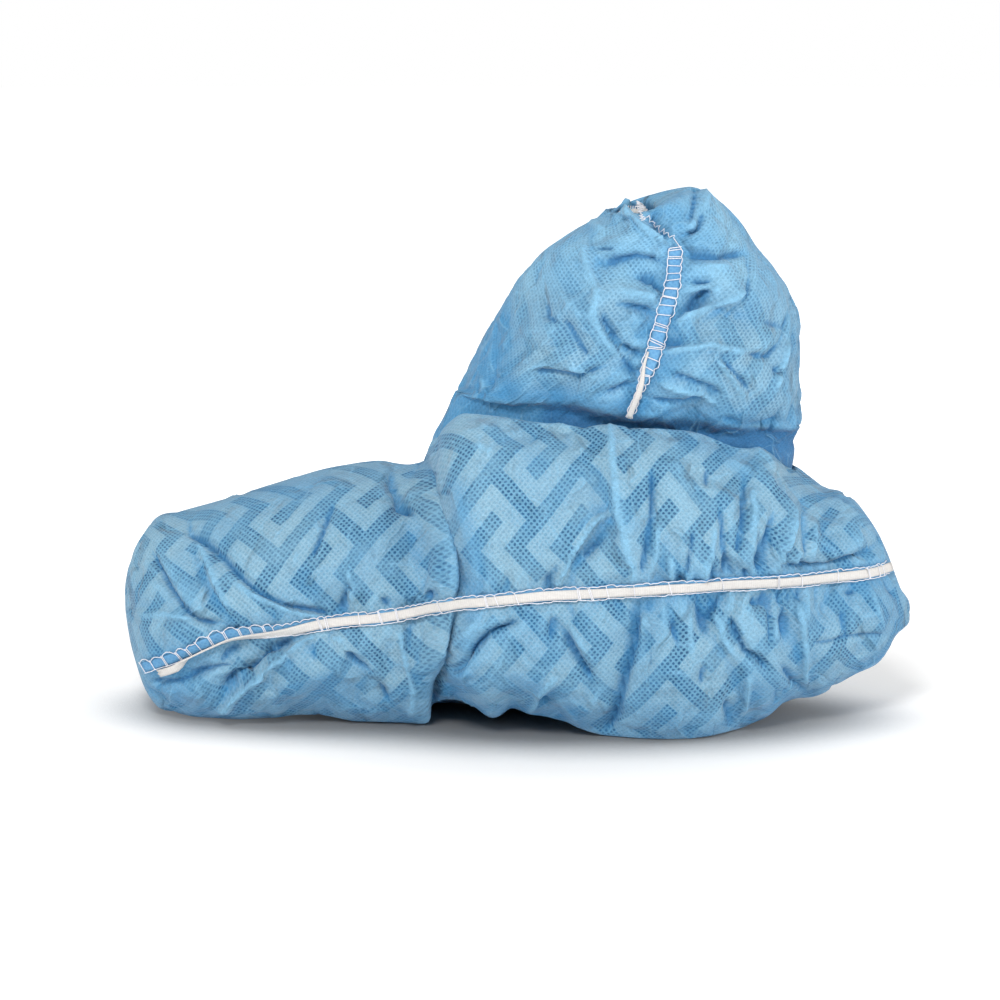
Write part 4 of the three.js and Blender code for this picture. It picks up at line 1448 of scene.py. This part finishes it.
def build_foot_seam():
    """The seam edge with the tape on it and the overlock thread round both.

    At the toe the edge stands up from the tape and shows its full width, and the stitches are longer.
    """
    x = np.arange(-177, 180.5, 2.0)
    z = curve_at(FOOT_SEAM, x)
    line = line_on_cloth(PIECES["foot"], x, z, 24)
    cloth = cloth_tree(PIECES["foot"])
    toe = fade(x, -152, -88)
    tape_half = settings().tape_width / MM / 2
    lift = 0.4 + 5.0 * toe
    half = tape_half + 0.9 - 0.5 * toe
    offsets = np.linspace(-1, 1, 5)
    stand = 0.8 + 0.9 * toe + 0.3 * gather_wave(x * 1.1)
    rows = rows_beside(line, lift[:, None] + half[:, None] * offsets, stand[:, None])
    rows = in_front(cloth, rows, 0.7)
    fin = ribbon("foot_seam_cloth", rows, SEAM_THICKNESS, seam_cloth())
    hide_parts("foot_seam_edge")

    end = fade(x, -162, -155)
    roll = np.radians(80) * (1 - end) * fade(x, -148, -82)
    half = tape_half * (1 - 0.15 * end)
    middle = 2.6 * toe * (1 - end) + 0.5 * end
    crown = 0.25 * (1 - offsets**2)
    side = half[:, None] * offsets * np.cos(roll)[:, None]
    out = half[:, None] * offsets * np.sin(roll)[:, None] + crown + 1.9 + 1.5 * toe[:, None]
    rows = rows_beside(line, middle[:, None] + side, out)[x > -170]
    rows[0, ::2, 0] -= 0.9 * MM
    rows = in_front(cloth, rows, 1.3)
    tape = ribbon("foot_tape", rows, TAPE_THICKNESS, elastic())
    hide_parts("foot_elastic_tape")

    dice = np.random.default_rng(7)
    runs = run_of(line[0]) / MM
    upper, lower, strands = [], [], []
    start = 1.0
    while start < runs[-1] - 4:
        at_toe = float(np.interp(start, runs, toe))
        pitch = STITCH * dice.uniform(0.8, 1.2) * (1 + 0.6 * at_toe)
        top = tape_half + 1.0 + 4.8 * at_toe + dice.uniform(-0.4, 0.5) * (1 + at_toe)
        bottom = -tape_half - 0.7 + 5.6 * at_toe - dice.uniform(-0.3, 0.3)
        rail_out = 1.7 + 1.0 * at_toe
        scallop = dice.uniform(0.3, 0.8) + 1.3 * at_toe
        for part in (0, 0.25, 0.5, 0.75):
            arch = scallop * math.sin(math.pi * part)
            upper.append(at_run(line, start + part * pitch, top + arch - scallop / 2, rail_out))
            lower.append(at_run(line, start + part * pitch, bottom - 0.4 * arch * (1 - at_toe), rail_out))
        slant = dice.uniform(0.4, 2.2) * (1 - at_toe * 0.4)
        strand_out = 2.75 - 0.1 * at_toe
        shown = dice.uniform() < 0.3 + at_toe
        for twin in (0, dice.uniform(0.5, 0.9))[: 1 + (dice.uniform() < 0.5)] if shown else ():
            strand = [
                at_run(line, start + twin, top, rail_out),
                at_run(line, start + twin + 0.2 * slant, top - 0.8, strand_out),
                at_run(line, start + twin + 0.8 * slant, bottom + 0.8, strand_out),
                at_run(line, start + twin + slant, bottom, rail_out),
            ]
            strands.append(in_front(cloth, strand, 1.6 + 0.8 * (1 - at_toe)))
        start += pitch
    lines = [in_front(cloth, rail, 1.5) for rail in (upper, lower)] + strands
    thread = thread_piece("foot_thread", lines)
    PIECES["foot_trim"] = [fin, tape, thread]


def build_ankle_seam():
    """The seam edge down the ankle part, its thread, and the end of the tape beside its lower half."""
    z = np.arange(231, 151.5, -1.5)
    x = curve_at(ANKLE_SEAM, z)
    line = line_on_cloth(PIECES["ankle"], x, z, 4)
    foot = smoothstep(-z, -180, -164)
    half = 3.1 * (1 - 0.6 * foot)
    offsets = np.linspace(-1, 1, 5)
    rows = rows_beside(line, half[:, None] * offsets, 1.0 + 0.2 * gather_wave(z)[:, None])
    edge = ribbon("ankle_seam_cloth", rows, SEAM_THICKNESS, seam_cloth())
    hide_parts("ankle_seam_edge")

    low = z < 184
    width = 0.3 + 1.0 * smoothstep(-z, -184, -165)
    side = -half[:, None] * 0.8 * (1 - foot[:, None]) + width[:, None] * offsets
    rows = rows_beside(line, side, 2.0 + 0.2 * (1 - offsets**2))
    tape = ribbon("ankle_tape", rows[low], ANKLE_TAPE_THICKNESS, elastic())
    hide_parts("ankle_elastic_tape")

    dice = np.random.default_rng(11)
    runs = run_of(line[0]) / MM
    left, right, rungs = [], [], []
    for start in np.arange(1.0, runs[-1] - 2, STITCH):
        reach = float(np.interp(start, runs, half)) + dice.uniform(-0.3, 0.6)
        for part in (0, 0.35, 0.7):
            scallop = 0.8 * math.sin(math.pi * part) + dice.uniform(-0.2, 0.2)
            left.append(at_run(line, start + part * STITCH, reach + scallop, 1.7))
            right.append(at_run(line, start + part * STITCH, -reach - 0.5 * scallop, 1.8))
        slant = dice.uniform(-1.4, 1.4)
        for twin in (0, dice.uniform(0.4, 1.2))[: 1 + (dice.uniform() < 0.4)]:
            rung = []
            for side, share in ((-1, 0), (-0.5, 0.3), (0.5, 0.7), (1, 1)):
                rung.append(at_run(line, start + twin + slant * share, reach * side, 2.0))
            rungs.append(rung)
    # a squiggle of loose thread down the lip
    x = np.linspace(56, 74, 20)
    z = np.interp(x, (50, 57, 64, 70, 75), (256, 249, 242, 237, 233))
    lip = line_on_cloth(PIECES["ankle"], x, z, 2)
    reach = run_of(lip[0])[-1] / MM
    squiggle = []
    for k, run in enumerate(np.arange(0.5, reach - 0.5, 0.8)):
        sideways = (1.1, -0.1, -1.2, 0.2)[k % 4] + dice.uniform(-0.7, 0.7)
        squiggle.append(at_run(lip, run + dice.uniform(-0.7, 0.7), sideways, 1.2))
    left = squiggle + left
    thread = thread_piece("ankle_thread", [left, right] + rungs)
    PIECES["ankle_trim"] = [edge, tape, thread]


def build_opening():
    """The gathered elastic round the opening, with its loops of thread."""
    low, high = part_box("opening_elastic")
    middle, reach = (low + high) / 2 / MM, (high - low) / 2 / MM
    turns = np.linspace(0, 2 * math.pi, 97)
    ruffle = 0.5 * np.sin(turns * 23) + 0.35 * np.sin(turns * 37 + 1)
    ring_x = middle.x + (reach.x - 0.8 + ruffle * 0.6) * np.cos(turns)
    ring_y = middle.y + (reach.y - 0.8 + ruffle * 0.6) * np.sin(turns)
    offsets = np.linspace(-1, 1, 4)
    rows = np.empty((len(turns), 4, 3))
    rows[..., 0] = ring_x[:, None]
    rows[..., 1] = ring_y[:, None]
    near_lift = 12.5 * smoothstep(-np.sin(turns), 0.1, 0.9)
    rows[..., 2] = middle.z + reach.z * 0.85 * offsets + (ruffle * 0.5 + near_lift)[:, None]
    band = ribbon("opening_band", rows * MM, TAPE_THICKNESS, elastic())
    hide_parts("opening_elastic")
    lines = []
    inward = 0.9
    for k in range(0, 96, 2):
        ends = []
        for station, z in ((k, low.z / MM), (k + 1, high.z / MM + 0.8)):
            x = middle.x + (ring_x[station] - middle.x) * inward
            y = middle.y + (ring_y[station] - middle.y) * inward
            ends.append(np.array((x, y, z + near_lift[k])) * MM)
        lines.append(ends)
    thread = thread_piece("opening_thread", lines)
    PIECES["opening_trim"] = [band, thread]


def build_stage():
    bm = bmesh.new()
    bmesh.ops.create_circle(bm, cap_ends=True, segments=96, radius=9)
    mesh = mesh_of(bm, "floor")
    mesh.materials.append(studio_white())
    floor = bpy.data.objects.new("floor", mesh)
    bpy.context.scene.collection.objects.link(floor)


# what the camera and the lamps look at, and where the camera stands from there
TARGET = Vector((-0.0082, 0, 0.1056))
ELEVATION = math.radians(9)
DISTANCE = 1.6133


def build_camera():
    data = bpy.data.cameras.new("camera")
    data.lens = 120
    data.sensor_width = 36
    data.clip_end = 50
    camera = bpy.data.objects.new("camera", data)
    camera.location = TARGET + DISTANCE * Vector((0, -math.cos(ELEVATION), math.sin(ELEVATION)))
    camera.rotation_euler = (math.pi / 2 - ELEVATION, 0, 0)
    bpy.context.scene.collection.objects.link(camera)
    bpy.context.scene.camera = camera


def build_lights():
    world = bpy.data.worlds.new("studio")
    world.use_nodes = True
    tree = world.node_tree
    seen = node(tree, "ShaderNodeLightPath").outputs["Is Camera Ray"]
    around = node(tree, "ShaderNodeTexCoord").outputs["Object"]
    up = node(tree, "ShaderNodeSeparateXYZ", {"Vector": around}).outputs["Z"]
    background = tree.nodes["Background"]
    background.inputs["Color"].default_value = (1, 1, 1, 1)
    strength = maths(tree, "MAXIMUM", seen, spread(tree, up, 0.0, 0.9, 0.16, 0.52))
    feed(tree, background.inputs["Strength"], strength)
    bpy.context.scene.world = world
    # name, place, width in metres and power in watts
    lamps = (
        ("key", (-0.25, -1.6, 1.35), 0.5, 25),
        ("fill", (1.6, -0.95, 0.42), 1.2, 16),
        ("toe side", (-1.6, -0.8, 0.5), 0.8, 7),
        ("top", (0.15, 0.8, 2.0), 1.8, 11),
    )
    for name, place_at, size, power in lamps:
        data = bpy.data.lights.new(name, "AREA")
        data.shape = "DISK"
        data.size = size
        data.energy = power
        lamp = bpy.data.objects.new(name, data)
        lamp.location = place_at
        lamp.rotation_euler = (TARGET - Vector(place_at)).to_track_quat("-Z", "Y").to_euler()
        bpy.context.scene.collection.objects.link(lamp)
    bpy.context.scene.view_settings.view_transform = "Standard"


class SHOECOVER_OT_stage(bpy.types.Operator):
    """Builds the floor, the lights and the camera"""

    bl_idname = "shoe_cover.stage"
    bl_label = "Studio"

    def execute(self, context):
        build_stage()
        build_camera()
        build_lights()
        return {"FINISHED"}


class SHOECOVER_OT_cloth(bpy.types.Operator):
    """Builds the crumpled cloth of the foot part and the ankle part"""

    bl_idname = "shoe_cover.cloth"
    bl_label = "Cloth"

    def execute(self, context):
        build_foot_cloth()
        build_ankle_cloth()
        return {"FINISHED"}


class SHOECOVER_OT_seams(bpy.types.Operator):
    """Builds the seam edges, the elastic tapes and the overlock thread"""

    bl_idname = "shoe_cover.seams"
    bl_label = "Seams and Tapes"

    def execute(self, context):
        build_foot_seam()
        build_ankle_seam()
        return {"FINISHED"}


class SHOECOVER_OT_opening(bpy.types.Operator):
    """Builds the gathered elastic of the opening"""

    bl_idname = "shoe_cover.opening"
    bl_label = "Opening"

    def execute(self, context):
        build_opening()
        return {"FINISHED"}


class SHOECOVER_PT_panel(bpy.types.Panel):
    """Lists the steps that build the shoe cover"""

    bl_idname = "SHOECOVER_PT_panel"
    bl_label = "Disposable Shoe Cover"
    bl_space_type = "VIEW_3D"
    bl_region_type = "UI"
    bl_category = "Shoe Cover"

    def draw(self, context):
        sizes = context.scene.shoe_cover
        for name in ShoeCoverSettings.__annotations__:
            self.layout.prop(sizes, name)
        for operator in OPERATORS:
            self.layout.operator(operator.bl_idname)


OPERATORS = (SHOECOVER_OT_stage, SHOECOVER_OT_cloth, SHOECOVER_OT_seams, SHOECOVER_OT_opening)
CLASSES = (ShoeCoverSettings, *OPERATORS, SHOECOVER_PT_panel)


def register():
    for part in CLASSES:
        bpy.utils.register_class(part)
    bpy.types.Scene.shoe_cover = PointerProperty(type=ShoeCoverSettings)


def unregister():
    del bpy.types.Scene.shoe_cover
    for part in reversed(CLASSES):
        bpy.utils.unregister_class(part)


def main():
    register()
    bpy.ops.shoe_cover.stage()
    bpy.ops.shoe_cover.cloth()
    bpy.ops.shoe_cover.seams()
    bpy.ops.shoe_cover.opening()


if __name__ == "__main__":
    main()
